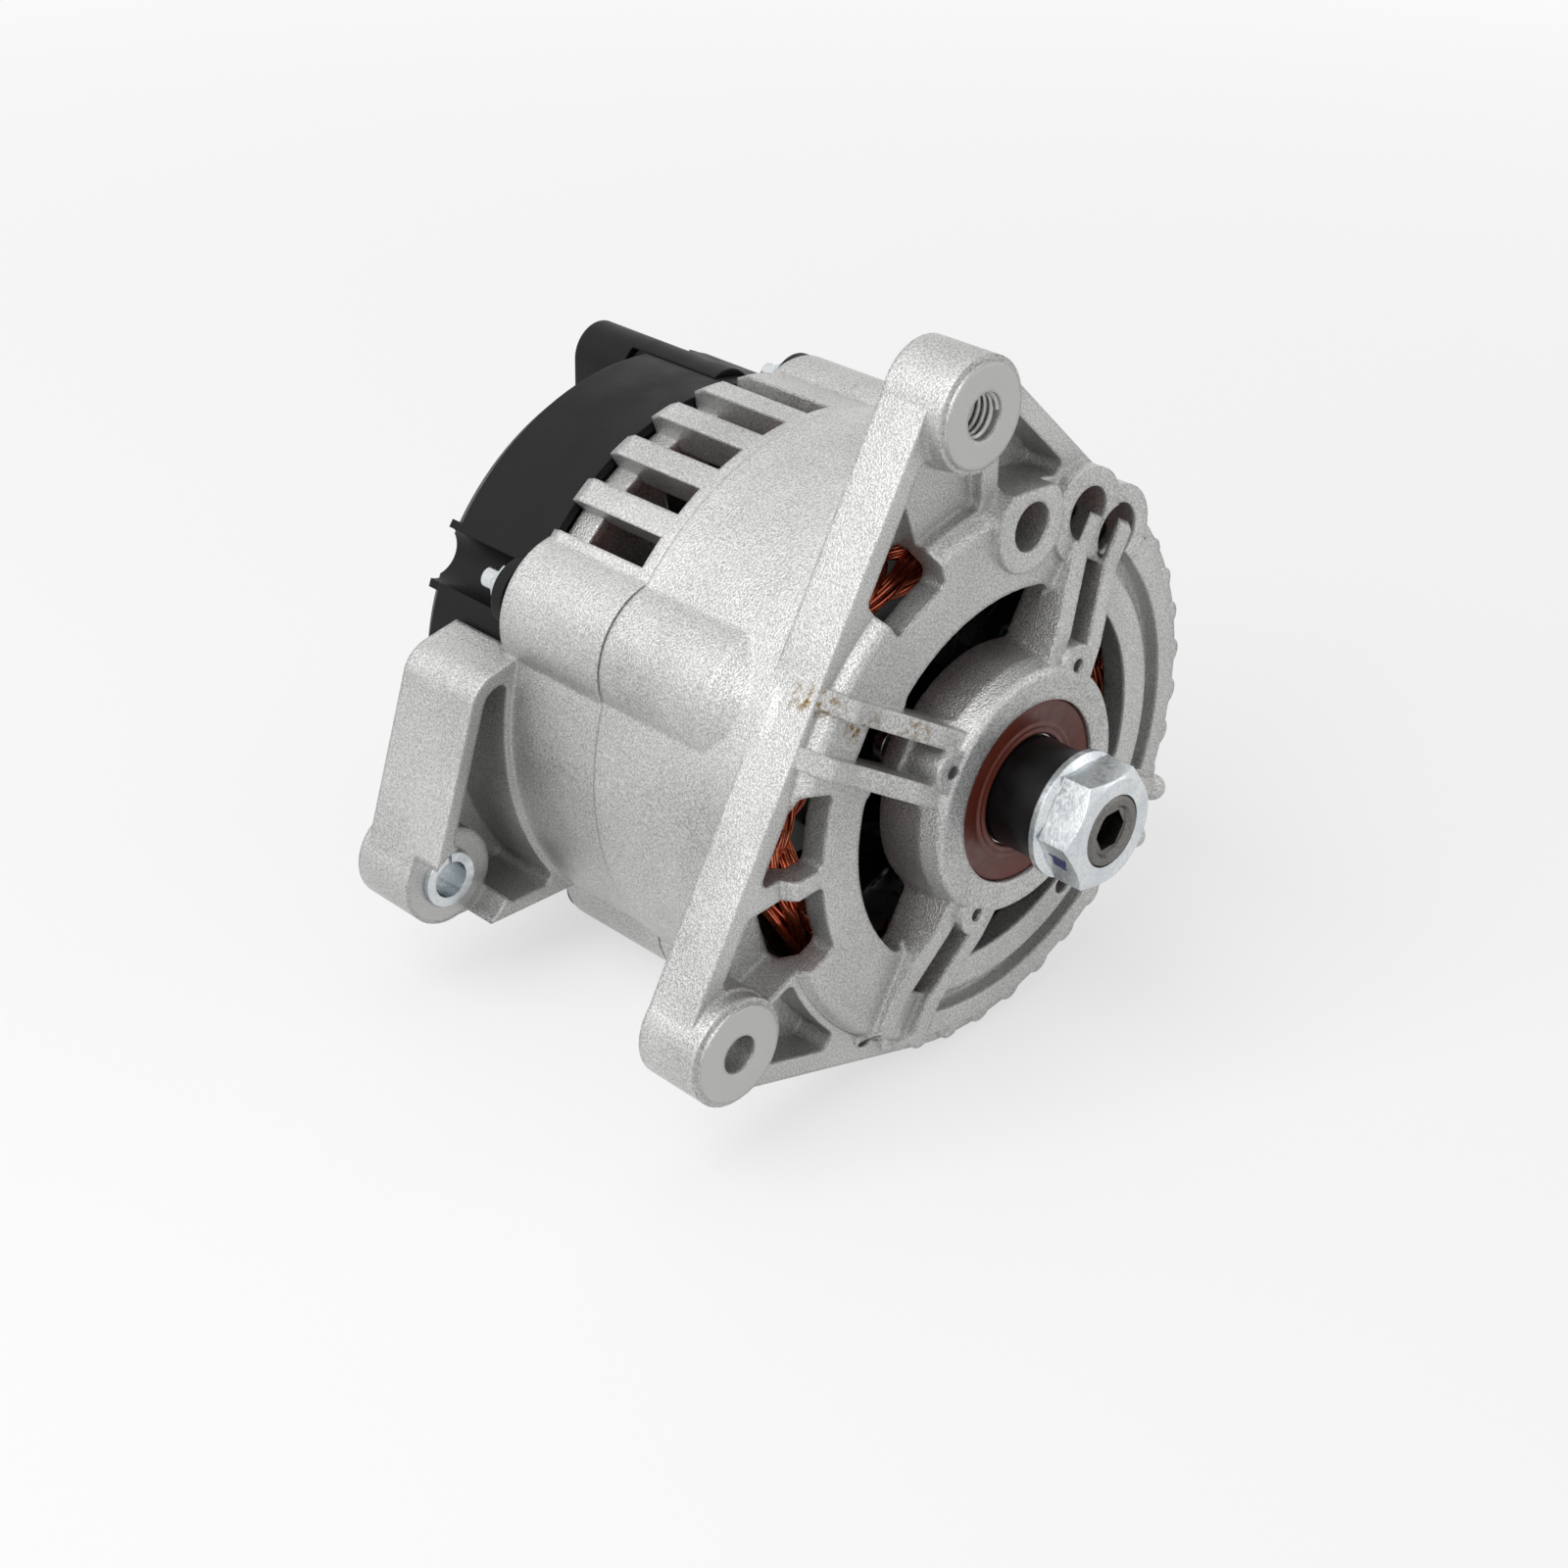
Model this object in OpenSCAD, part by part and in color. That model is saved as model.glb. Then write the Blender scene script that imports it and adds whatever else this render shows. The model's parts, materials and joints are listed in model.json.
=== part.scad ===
// Engine alternator, millimetres, +Z up.
// The shaft lies along Y: the pulley end is at low Y, the plastic cover at high Y.
// The origin is on the shaft axis at the end face of the shaft.
// 2-D outlines are drawn as seen from the pulley end: X to the right, Z up.

/* [Housing] */
// Outer radius of the cast housing
housing_r = 65; // [64:0.5:68]
// Bore of the housing for the stator core
stator_bore_r = 58.1; // [57.5:0.1:58.6]
// Face of the housing's front rim, from the shaft end
rim_y = 31; // [30:0.5:32]
// Joint face between the two castings, from the shaft end
parting_y = 86; // [84:1:92]
// Rear face of the slip ring end casting
rear_y = 118; // [114:1:122]
// Wall of the flange pockets
flange_wall = 4.5; // [4:0.5:7]

/* [Ears] */
// Outer radius of each ear
ear_r = 12; // [11.5:0.5:13]
// Place of the adjusting ear, X and Z
adjust_ear = [-14.5, 85];
// Place of the pivot ears, X and Z
pivot_ear = [-77, -33];
// Front face of both front ears
ear_y = 29.5; // [28:0.5:30]
// Thickness of the front ears
ear_t = 16.5; // [15:0.5:20]
// Front face of the flange that joins the ears
flange_y = 34; // [33:0.5:36]
// Radius of the plain hole in the front pivot ear
pivot_hole_r = 4.25; // [4:0.05:4.6]
// Wall radius of the M10 hole in the adjusting ear
adjust_thread_r = 4.9; // [4:0.05:5]
// Front face of the rear pivot ear
rear_ear_y = 121; // [119:1:124]
// Thickness of the rear pivot ear
rear_ear_t = 17; // [14:1:20]
// Outer radius of the rear pivot ear
rear_ear_r = 11.2; // [10.5:0.1:12]
// Outer radius of the sliding bush
bush_r = 6.5; // [6:0.1:7.5]
// How far the bush can slide in the ear
bush_travel = 1.5; // [0.5:0.5:3]

/* [Front face] */
// Angle of the first pair of spokes
spoke_a = 61; // [55:1:65]
// Number of spokes
spoke_n = 4; // [4]
// Gap between the two ribs of a spoke
spoke_slot = 7.8; // [6:0.2:9]
// Thickness of a rib
rib_t = 4.4; // [3.5:0.1:5]
// Outer radius of the air windows
window_r = 43; // [42:0.5:44]
// Outer radius of the bearing boss
boss_r = 27.6; // [27:0.2:29]
// Front face of the bearing boss
boss_y = 22.5; // [21.5:0.5:23]
// Places of the four through bolts, degrees
bolt_a = [62, 152, 236, 331];
// Pitch radius of the through bolts
bolt_pitch_r = 62; // [61.8:0.1:62.2]
// Radius of a through bolt
bolt_r = 2.5; // [2:0.25:3]

/* [Stator and rotor] */
// Length of the stator core
core_len = 32; // [30:1:32]
// Radius of the stator core's own bore
core_bore_r = 44; // [43:0.5:45]
// Number of stator slots
slot_n = 36; // [24, 36, 48]
// Radial gap between the claw poles and the core
air_gap = 0.5; // [0.4:0.1:0.8]
// Number of claws on each pole
claw_n = 6; // [5:1:8]
// Radius of the fans
fan_r = 39.5; // [38:0.5:40]
// Number of blades on the front fan
blade_n = 11; // [9:1:13]

/* [Shaft and bearings] */
// Radius of the M16 shaft thread, as a plain cylinder
thread_r = 8; // [7:0.5:8]
// Radius of the shaft in the front bearing
shaft_r = 8.5; // [8.5:0.5:9]
// Radius of the shaft in the rear bearing
rear_shaft_r = 7.5; // [7:0.5:8]
// Pulley nut, across flats
nut_af = 24; // [22:1:24]
// Height of the pulley nut
nut_h = 8.2; // [7:0.1:8.2]
// Radius of the lock washer
washer_r = 14; // [13:0.5:15]
// Radius of the black spacer sleeve
sleeve_r = 12.2; // [11.5:0.1:12.4]
// Outer radius of the front bearing
front_brg_r = 23.5; // [23:0.5:24]
// Width of the front bearing
front_brg_w = 14; // [13:1:14]
// Outer radius of the rear bearing
rear_brg_r = 17.5; // [17:0.5:18]
// Width of the rear bearing
rear_brg_w = 11; // [10:1:11]

/* [Rear] */
// Outer radius of the plastic cover
cover_r = 61.5; // [60:0.5:62]
// Rear face of the plastic cover
cover_y = 150; // [148:1:154]
// Wall of the plastic cover
cover_wall = 2.2; // [1.8:0.1:2.6]
// How far the cable duct reaches behind the cover
duct_y = 16; // [10:1:25]
// Outer radius of the cable duct
duct_r = 7.5; // [7:0.5:9]
// Place of the cable duct: X, and Z from the top of the cover
duct_at = [9, -6.5];
// Radius of the slip rings
ring_r = 9; // [8.5:0.5:10]
// Travel of a brush away from its ring
brush_travel = 4; // [2:0.5:5]
// Place of the output stud, X and Z
stud_at = [45, -8];
// Radius of the output stud's free end
stud_r = 4; // [3:0.5:4]
// Length of the output stud's free end
stud_len = 8; // [6:1:12]

/* [Hidden] */
seat = 0.05; // gap of a pressed seat, so that solids do not overlap
run = 0.3; // gap between pieces that turn past each other
thru = 1; // how far a cutter runs past a face
skin = 0.3; // how far an outline stays under the round surfaces it meets
pad_r = ear_r - 1.2;
pad_h = 1;
cavity_r = housing_r - 4;
ring_r1 = window_r + 7;
groove_r = window_r + 12;
core_y = parting_y - core_len;
plate_y = 37;
nut_y = 0.4;
washer_y = nut_y + nut_h;
sleeve_y = washer_y + 2.4;
brg_y = 24.5;
brg_end = brg_y + front_brg_w;
retainer_t = 2.2;
pole_r = core_bore_r - air_gap;
pole_y = 50;
pole_end = 92;
pole_t = 13;
fan_t = 1.2;
rear_brg_y = 109;
ear_end = ear_y + ear_t;
step_y = 44;
bolt_y = ear_end + 10;
hub_h = 4;
bulge_r = 17;
cup_a = 87;
loop_a = [68, 55];
cover_front = rear_y + 0.3;
lug_t = 3;
duct_end = cover_y + duct_y;
duct_mid = [duct_at[0], cover_r + duct_at[1]];
plate_r = cover_r - 7.5;
lug_r = 8.2;
bolt_nut_y = cover_front + lug_t;
bolt_nut_h = 4;
stud_y = cover_y + 8;
bolt_end = bolt_nut_y + bolt_nut_h + 5;
arm_y = rear_y - 5;
rect_y = 126;
rect_t = 4;
diode_a = -45;
ring_y = [124.5, 134.5];
ring_w = 7;
brush_w = 5;
brush_len = 15;
brush_h = 6;
holder_x = 14;
holder_y = rear_y + hub_h + run;
holder_end = ring_r + seat + brush_len + brush_travel + 10;
spoke_angles = [for (i = [0:spoke_n - 1]) spoke_a + i * 360 / spoke_n];
comb_pitch = 11.9;
comb_first = 87;
comb_w = 7.4;
comb_n = 5;
comb_side = [0, 169, 258];
outline_fn = 72;
$fn = 96;

// Placing

// Extrudes an outline drawn in X and Z from y0 to y1.
module slab(y0, y1) {
  translate([0, y1, 0]) rotate([90, 0, 0]) linear_extrude(y1 - y0) children();
}

// Turns a profile of radius and Y about the shaft axis.
module turned() {
  rotate([-90, 0, 0]) rotate_extrude() children();
}

// A round bar along Y, centred on p.
module bar(y0, y1, r, p = [0, 0], fn = $fn) {
  translate([p[0], y0, p[1]]) rotate([-90, 0, 0]) cylinder(h = y1 - y0, r = r, $fn = fn);
}

module tube(y0, y1, ro, ri, p = [0, 0]) {
  difference() {
    bar(y0, y1, ro, p);
    bar(y0 - thru, y1 + thru, ri, p);
  }
}

// Turns the children about the shaft, counted as seen from the pulley end.
module spin(a) {
  rotate([0, -a, 0]) children();
}

function polar(r, a) = [r * cos(a), r * sin(a)];

module sector(a0, a1, r = 140) {
  polygon(concat([[0, 0]], [for (i = [0:6]) polar(r, a0 + (a1 - a0) * i / 6)]));
}

// A box from the inner to the outer radius on the X axis, centred across it.
module radial_box(r0, r1, w, y0, y1) {
  translate([r0, y0, -w / 2]) cube([r1 - r0, y1 - y0, w]);
}

module hex(af, y0, y1, p = [0, 0]) {
  bar(y0, y1, af / sqrt(3), p, 6);
}

// Castings

module flange_outline() {
  hull() {
    circle(r = housing_r - skin, $fn = outline_fn);
    translate(adjust_ear) circle(r = ear_r - skin, $fn = 48);
    translate(pivot_ear) circle(r = ear_r - skin, $fn = 48);
  }
}

// A pocket between the ring and the flange wall, from one angle to the other.
module pocket(a0, a1, r0) {
  offset(r = 2) offset(delta = -2) difference() {
    intersection() {
      offset(delta = -flange_wall) flange_outline();
      sector(a0, a1);
    }
    circle(r = r0, $fn = outline_fn);
    translate(adjust_ear) circle(r = ear_r + 0.4, $fn = 48);
    translate(pivot_ear) circle(r = ear_r + 0.4, $fn = 48);
  }
}

// One air window between two spokes.
module air_window(a) {
  offset(r = 3) offset(delta = -3) difference() {
    intersection() {
      circle(r = window_r, $fn = outline_fn);
      rotate(a) square(window_r + 5);
    }
    circle(r = boss_r + 1, $fn = 48);
    for (s = [0, 90]) rotate(a + s) square([140, spoke_slot + 2 * rib_t], center = true);
  }
}

module spoke_rib(side) {
  h = spoke_slot / 2;
  translate([0, 0, side > 0 ? h : -h - rib_t]) linear_extrude(rib_t)
    polygon([[boss_r - 4, boss_y + 1.5], [boss_r + 6, boss_y + 2.5], [ring_r1, rim_y - 2.5],
      [groove_r + 3, rim_y - 2.5], [housing_r - 1, flange_y], [housing_r - 1, plate_y + 1],
      [boss_r - 4, plate_y + 1]]);
}

// Bulge on the outside that carries a through bolt, with a ramp at its front end.
module bolt_bulge(y0, y1, ramp = 0) {
  at = [housing_r + 4.5 - bulge_r, 0];
  bar(y0, y1, bulge_r, at, 48);
  if (ramp > 0) translate([at[0], y0, 0]) rotate([90, 0, 0])
    cylinder(h = ramp, r1 = bulge_r, r2 = bulge_r - 6, $fn = 48);
}

module drive_end_bracket() {
  color("silver") difference() {
    union() {
      // Round housing, rim, ring and bearing boss
      turned() polygon([[0, boss_y], [boss_r - 1, boss_y], [boss_r, boss_y + 1],
        [boss_r + 2, rim_y + 1], [window_r - 2, rim_y + 1], [window_r - 1, rim_y],
        [groove_r + 5, rim_y], [groove_r + 6, rim_y + 1], [housing_r - 1, plate_y],
        [housing_r, step_y], [housing_r, parting_y], [0, parting_y]]);
      // Flange that carries the ears
      difference() {
        slab(flange_y, ear_end) flange_outline();
        bar(flange_y - thru, ear_end + thru, cavity_r + 1.5);
      }
      // Screw lobes and spokes
      for (a = spoke_angles) spin(a) {
        bar(boss_y + 0.4, plate_y, 4.6, [boss_r + 0.6, 0], 48);
        spoke_rib(1);
        spoke_rib(-1);
      }
      // Ears
      for (p = [adjust_ear, pivot_ear]) {
        bar(ear_y + pad_h, ear_end, ear_r, p);
        bar(ear_y, ear_end, pad_r, p);
      }
      // Loops and cup beside the adjusting ear
      bar(rim_y - 1.5, plate_y + 3, 10, polar(bolt_pitch_r - 5, cup_a));
      bar(rim_y - 1, plate_y + 5, 10.5, polar(bolt_pitch_r - 4, loop_a[0]));
      bar(rim_y - 0.5, plate_y + 5, 11.5, polar(bolt_pitch_r - 6, loop_a[1]));
      for (a = bolt_a) spin(a) bolt_bulge(bolt_y, parting_y - skin, 9);
      // Scalloped edge behind the rim
      for (a = [-116:9.5:40]) spin(a) bar(rim_y + 2, step_y, 3.6, [housing_r - 4, 0], 24);
    }
    // Inside of the housing, with the shoulder for the stator core
    turned() polygon([[0, brg_end], [boss_r + 1, brg_end], [boss_r + 2, plate_y],
      [cavity_r - 3, plate_y], [cavity_r, plate_y + 3], [cavity_r, core_y - 5],
      [stator_bore_r - 2, core_y - 3], [stator_bore_r - 2, core_y], [stator_bore_r, core_y],
      [stator_bore_r, parting_y + thru], [0, parting_y + thru]]);
    // Air windows, slots of the spokes and groove of the rim
    for (a = spoke_angles) {
      slab(boss_y - thru, plate_y + 8) air_window(a);
      spin(a) radial_box(boss_r + 5.5, window_r + 6.5, spoke_slot, boss_y, plate_y + 8);
    }
    slab(rim_y - 3, rim_y + 4) intersection() {
      difference() {
        circle(r = groove_r, $fn = outline_fn);
        circle(r = ring_r1, $fn = outline_fn);
      }
      union() {
        sector(-19, 50);
        sector(-109, -39);
      }
    }
    // Windows and pockets of the flange
    slab(ear_y - thru, ear_end - 3) pocket(112, 128, groove_r);
    slab(ear_y - thru, plate_y) pocket(97, 113, groove_r + 8);
    slab(ear_y - thru, ear_end - 3) pocket(163, 181, groove_r - 2);
    slab(ear_y - thru, ear_end - 3) pocket(185, 204, groove_r - 2);
    slab(ear_y - thru, ear_end - 3) pocket(205, 226, groove_r + 9);
    slab(ear_y - thru, ear_end - 3) pocket(69, 93, groove_r + 10);
    bar(rim_y - 3, plate_y + 1, 5.4, polar(bolt_pitch_r - 5, cup_a));
    bar(rim_y - 2, plate_y + 2, 6, polar(bolt_pitch_r - 3.5, loop_a[0]));
    bar(rim_y - 1, plate_y + 2, 6.6, polar(bolt_pitch_r - 5, loop_a[1]));
    bar(rim_y - 1, plate_y + thru, 2.4, polar(window_r + 3, -55), 32);
    spin(bolt_a[2]) bar(rim_y - 1, bolt_y + thru, bolt_r + seat, [bolt_pitch_r, 0], 32);
    // Small vents behind the flange
    for (a = [116, 188]) spin(a) radial_box(stator_bore_r - 4, housing_r + 6, 5, core_y - 4.4, core_y - 0.9);
    // Bearing seat
    bar(boss_y - thru, brg_y + thru, front_brg_r - 2.9);
    bar(brg_y, brg_end + thru, front_brg_r + seat);
    // Holes
    for (a = spoke_angles) spin(a) bar(boss_y - thru, brg_end + thru, 1.6, [boss_r + 0.6, 0], 32);
    for (a = bolt_a) spin(a) bar(bolt_y, parting_y + thru, bolt_r + seat, [bolt_pitch_r, 0], 32);
    bar(ear_y - thru, ear_end + thru, adjust_thread_r, adjust_ear);
    bar(ear_y - thru, ear_end + thru, pivot_hole_r, pivot_ear);
  }
}

// Outline of the rear arm: from the casting down to the pivot ear.
module arm_outline() {
  hull() {
    translate(pivot_ear) circle(r = rear_ear_r - skin, $fn = 48);
    translate([-67, 9]) circle(r = 8, $fn = 32);
    translate([-58, 11]) circle(r = 8, $fn = 32);
    translate([-46, -36]) circle(r = 8, $fn = 32);
  }
}

module slip_ring_end_bracket() {
  wall_in = stator_bore_r - 2;
  color("darkgray") difference() {
    union() {
      turned() polygon([[0, parting_y], [housing_r - 0.5, parting_y], [housing_r - 0.5, rear_y - 3],
        [housing_r - 2, rear_y], [rear_brg_r + 7, rear_y], [rear_brg_r + 6, rear_y + hub_h],
        [0, rear_y + hub_h]]);
      for (a = bolt_a) spin(a) bolt_bulge(parting_y + skin, rear_y - 1);
      // Arm and pivot ear
      difference() {
        slab(arm_y, rear_ear_y + rear_ear_t - 2) arm_outline();
        bar(arm_y - thru, rear_y, wall_in + 2);
        bar(rear_y - 0.5, rear_ear_y + rear_ear_t, cover_r + 1.2);
        slab(arm_y - thru, rear_ear_y + rear_ear_t - 7) offset(r = 2) offset(delta = -2) difference() {
          offset(delta = -3.2) arm_outline();
          circle(r = housing_r + 1, $fn = outline_fn);
          translate(pivot_ear) circle(r = rear_ear_r + 0.5, $fn = 48);
        }
      }
      bar(rear_ear_y - thru, rear_ear_y + rear_ear_t, rear_ear_r, pivot_ear);
    }
    // Inside, with the seat of the rear bearing
    turned() polygon([[0, parting_y - thru], [wall_in, parting_y - thru], [wall_in, rear_y - 6],
      [rear_brg_r + 8, rear_y - 6], [rear_brg_r + 6, rear_y - 12], [rear_brg_r + seat, rear_y - 12],
      [rear_brg_r + seat, rear_brg_y + rear_brg_w], [rear_brg_r - 3, rear_brg_y + rear_brg_w],
      [rear_brg_r - 3, rear_y + 5], [0, rear_y + 5]]);
    // Comb of cooling slots, open at the rear
    for (g = comb_side) for (i = [0:comb_n - 1]) spin(comb_first + g + i * comb_pitch)
      translate([0, 0, -comb_w / 2]) linear_extrude(comb_w)
        polygon([[wall_in - 3, parting_y + 3.5], [housing_r + 5, parting_y + 3.5],
          [housing_r + 5, rear_y + thru], [wall_in + 2.5, rear_y + thru],
          [wall_in + 2.5, rear_y - 6.5], [wall_in - 3, rear_y - 6.5]]);
    // Openings of the end wall
    for (a = [15:45:330]) spin(a) radial_box(rear_brg_r + 13, wall_in - 8, 16, rear_y - 20, rear_y + thru);
    for (a = bolt_a) spin(a) bar(parting_y - thru, rear_y + thru, bolt_r + 0.2, [bolt_pitch_r, 0], 32);
    // Bore of the pivot ear, and the room in front of it
    bar(rear_ear_y - 30, rear_ear_y, rear_ear_r + 1, pivot_ear);
    bar(rear_ear_y - thru, rear_ear_y + rear_ear_t + thru, bush_r + 0.04, pivot_ear);
  }
}

// Stator

module stator_core() {
  color("saddlebrown") difference() {
    tube(core_y, parting_y, stator_bore_r - seat, core_bore_r);
    for (i = [0:slot_n - 1]) spin(i * 360 / slot_n)
      radial_box(core_bore_r - 1, core_bore_r + 9, 3.4, core_y - thru, parting_y + thru);
  }
}

// End turns: a rounded ring, grooved where one coil leaves the next.
module end_turns(y0, y1) {
  r0 = core_bore_r + 1.5;
  r1 = stator_bore_r - 3.2;
  difference() {
    turned() polygon([[r0, y0 + 3], [r0 + 3, y0], [r1 - 3, y0], [r1, y0 + 3],
      [r1, y1 - 3], [r1 - 3, y1], [r0 + 3, y1], [r0, y1 - 3]]);
    for (i = [0:slot_n / 2 - 1]) spin(i * 720 / slot_n) {
      radial_box(r0 - 1, r1 + 1, 1.6, y0 - thru, y0 + 2.5);
      radial_box(r0 - 1, r1 + 1, 1.6, y1 - 2.5, y1 + thru);
    }
  }
}

module front_windings() {
  color("firebrick") end_turns(plate_y + 4, core_y);
}

module rear_windings() {
  color("firebrick") end_turns(parting_y, parting_y + 15);
}

// Three leads from the windings through the end wall to the rectifier.
module phase_leads() {
  color("chocolate") for (a = [15, 60, 105])
    spin(a) bar(parting_y + 15, rect_y, 1.1, [core_bore_r + 2.6, 0], 24);
}

// Cover side

module rear_cover() {
  color("dimgray") difference() {
    union() {
      turned() polygon([[0, cover_y - cover_wall], [cover_r - 5, cover_y - cover_wall],
        [cover_r - cover_wall, cover_y - 6], [cover_r - cover_wall, cover_front],
        [cover_r, cover_front], [cover_r, cover_y - 5], [cover_r - 4, cover_y], [0, cover_y]]);
      for (a = bolt_a) spin(a) {
        bar(rear_y + seat, bolt_nut_y, lug_r, [bolt_pitch_r - 1, 0], 48);
        intersection() {
          bar(cover_front + 1, cover_y - 1.5, lug_r - skin, [bolt_pitch_r - 1, 0], 48);
          bar(cover_front - thru, cover_y, cover_r - skin);
        }
      }
    }
    for (a = bolt_a) spin(a) {
      bar(bolt_nut_y, cover_y + thru, lug_r - cover_wall, [bolt_pitch_r - 1, 0], 48);
      radial_box(bolt_pitch_r, housing_r + 10, 2 * (lug_r - cover_wall) - 1, bolt_nut_y, cover_y + thru);
      bar(cover_front - thru, bolt_nut_y + thru, bolt_r + 0.2, [bolt_pitch_r, 0], 32);
    }
    // Vents and the hole for the output stud
    for (a = [20:20:340]) spin(a) radial_box(24, 44, 4, cover_y - 6, cover_y + thru);
    bar(rect_y + rect_t, cover_y + thru, stud_r + 4 + seat, stud_at);
  }
}

module cable_duct() {
  color("dimgray") difference() {
    union() {
      bar(cover_front + 5, duct_end, duct_r, duct_mid);
      translate([duct_mid[0] - duct_r, cover_front + 5, duct_mid[1] - 8])
        cube([2 * duct_r, duct_end - cover_front - 5, 8]);
    }
    bar(cover_front, duct_end + thru, duct_r - 2, duct_mid);
    translate([duct_mid[0] - duct_r + 2, cover_front, duct_mid[1] - 20]) cube([2 * duct_r - 4, duct_end, 20]);
    bar(cover_front, cover_y + seat, cover_r + seat);
    bar(cover_front, duct_end + thru, cover_r - 14);
  }
}

module through_bolts() {
  color("gainsboro") for (a = bolt_a) spin(a) {
    bar(bolt_y + 1, bolt_end, bolt_r, [bolt_pitch_r, 0], 32);
  }
}

module cover_nuts() {
  color("gainsboro") for (a = bolt_a) spin(a) difference() {
    hex(8, bolt_nut_y, bolt_nut_y + bolt_nut_h, [bolt_pitch_r, 0]);
    bar(bolt_nut_y - thru, bolt_end, bolt_r + seat, [bolt_pitch_r, 0], 32);
  }
}

module rectifier_plate() {
  color("lightgray") difference() {
    slab(rect_y, rect_y + rect_t) difference() {
      circle(r = plate_r);
      circle(r = 24);
      translate([-11, -80]) square([22, 80]);
    }
    for (a = bolt_a) spin(a) bar(rect_y - thru, rect_y + rect_t + thru, lug_r + run, [bolt_pitch_r - 1, 0], 32);
    for (i = [0:5]) spin(diode_a + i * 54) bar(rect_y - thru, rect_y + rect_t + thru, 6, [37, 0], 48);
    bar(rect_y - thru, rect_y + rect_t + thru, stud_r + 1 + seat, stud_at);
    for (a = [15, 60, 105]) spin(a) bar(rect_y - thru, rect_y + rect_t + thru, 1.3, [core_bore_r + 2.6, 0], 24);
  }
}

module diodes() {
  color("slategray") for (i = [0:5]) spin(diode_a + i * 54) {
    bar(rect_y, rect_y + rect_t + 2, 6 - seat, [37, 0], 48);
    bar(rect_y + rect_t + 2, rect_y + rect_t + 10, 1, [37, 0], 24);
  }
}

// Turns what is drawn along +X to run down from the slip rings.
module down() {
  rotate([0, 90, 0]) children();
}

module brush_holder() {
  color("darkslategray") down() difference() {
    translate([holder_x, holder_y, -9]) cube([holder_end - holder_x, ring_y[0] + 20 - holder_y, 18]);
    for (y = ring_y) translate([holder_x - thru, y + (ring_w - brush_w) / 2 - 0.06, -brush_h / 2 - 0.06])
      cube([holder_end - 2 - holder_x + thru, brush_w + 0.12, brush_h + 0.12]);
  }
}

module brush(y) {
  color("dimgray") down() difference() {
    translate([ring_r - 0.6, y + (ring_w - brush_w) / 2, -brush_h / 2]) cube([brush_len + 0.6, brush_w, brush_h]);
    bar(y - thru, y + ring_w + thru, ring_r + seat);
  }
}

module brush_front() {
  brush(ring_y[0]);
}

module brush_rear() {
  brush(ring_y[1]);
}

// A coil spring behind its brush, as a row of turns.
module brush_spring(y) {
  x0 = ring_r + brush_len;
  turns = 7;
  pitch = (holder_end - 2 - x0 - 1) / turns;
  color("silver") down() translate([x0 + 0.3, y + ring_w / 2, 0]) rotate([0, 90, 0]) {
    for (i = [0:turns - 1]) translate([0, 0, i * pitch]) difference() {
      cylinder(h = pitch * 0.45, r = 2.2, $fn = 32);
      translate([0, 0, -thru]) cylinder(h = pitch + thru * 2, r = 1.5, $fn = 32);
    }
    translate([1.5, -0.35, 0]) cube([0.6, 0.7, pitch * (turns - 1) + 0.2]);
  }
}

module brush_spring_front() {
  brush_spring(ring_y[0]);
}

module brush_spring_rear() {
  brush_spring(ring_y[1]);
}

module output_stud() {
  color("goldenrod") {
    bar(rect_y, stud_y + stud_len, stud_r, stud_at, 48);
    bar(rect_y - 1, stud_y, stud_r + 1, stud_at, 48);
    bar(rect_y - 3, rect_y, stud_r + 3, stud_at, 48);
  }
}

module output_nut() {
  color("gainsboro") difference() {
    hex(16, cover_y + 2, stud_y, stud_at);
    bar(cover_y, cover_y + 20, stud_r + 1 + seat, stud_at, 48);
  }
}

module stud_insulator() {
  color("black") difference() {
    union() {
      bar(rect_y + rect_t, cover_y + 2, stud_r + 4, stud_at, 48);
      bar(cover_y, cover_y + 2, stud_r + 6, stud_at, 48);
    }
    bar(rect_y, cover_y + 20, stud_r + 1 + seat, stud_at, 48);
  }
}

module split_bush() {
  color("gainsboro") difference() {
    bar(rear_ear_y - bush_travel, rear_ear_y + rear_ear_t - 0.5, bush_r, pivot_ear);
    bar(rear_ear_y - bush_travel - thru, rear_ear_y + rear_ear_t + thru, pivot_hole_r, pivot_ear);
    translate([pivot_ear[0] - 0.4, rear_ear_y - bush_travel - thru, pivot_ear[1]])
      cube([0.8, rear_ear_t + bush_travel + 3, bush_r + thru]);
  }
}

// Bearings

module race(ro, ri, y0, w, pitch, ball) {
  difference() {
    tube(y0, y0 + w, ro, ri);
    turned() translate([pitch, y0 + w / 2]) circle(r = ball + 0.06, $fn = 48);
  }
}

module balls(n, pitch, ball, y) {
  for (i = [0:n - 1]) spin(i * 360 / n) translate([pitch, y, 0]) sphere(r = ball, $fn = 48);
}

// A ring with a pocket for each ball.
module cage(n, pitch, ball, y, w, t) {
  pocket = 2 * (ball + 0.1);
  difference() {
    tube(y - w / 2, y + w / 2, pitch + t / 2, pitch - t / 2);
    for (i = [0:n - 1]) spin(i * 360 / n)
      radial_box(pitch - t, pitch + t, pocket, y - pocket / 2, y + pocket / 2);
  }
}

front_pitch = (front_brg_r + shaft_r) / 2;
front_ball = 4.3;
rear_pitch = (rear_brg_r + rear_shaft_r) / 2;
rear_ball = 3;

module front_bearing_outer() {
  color("lightsteelblue") race(front_brg_r, front_pitch + 2.6, brg_y, front_brg_w, front_pitch, front_ball);
}

module front_bearing_inner() {
  color("lightsteelblue") race(front_pitch - 2.6, shaft_r + seat, brg_y, front_brg_w, front_pitch, front_ball);
}

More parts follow.
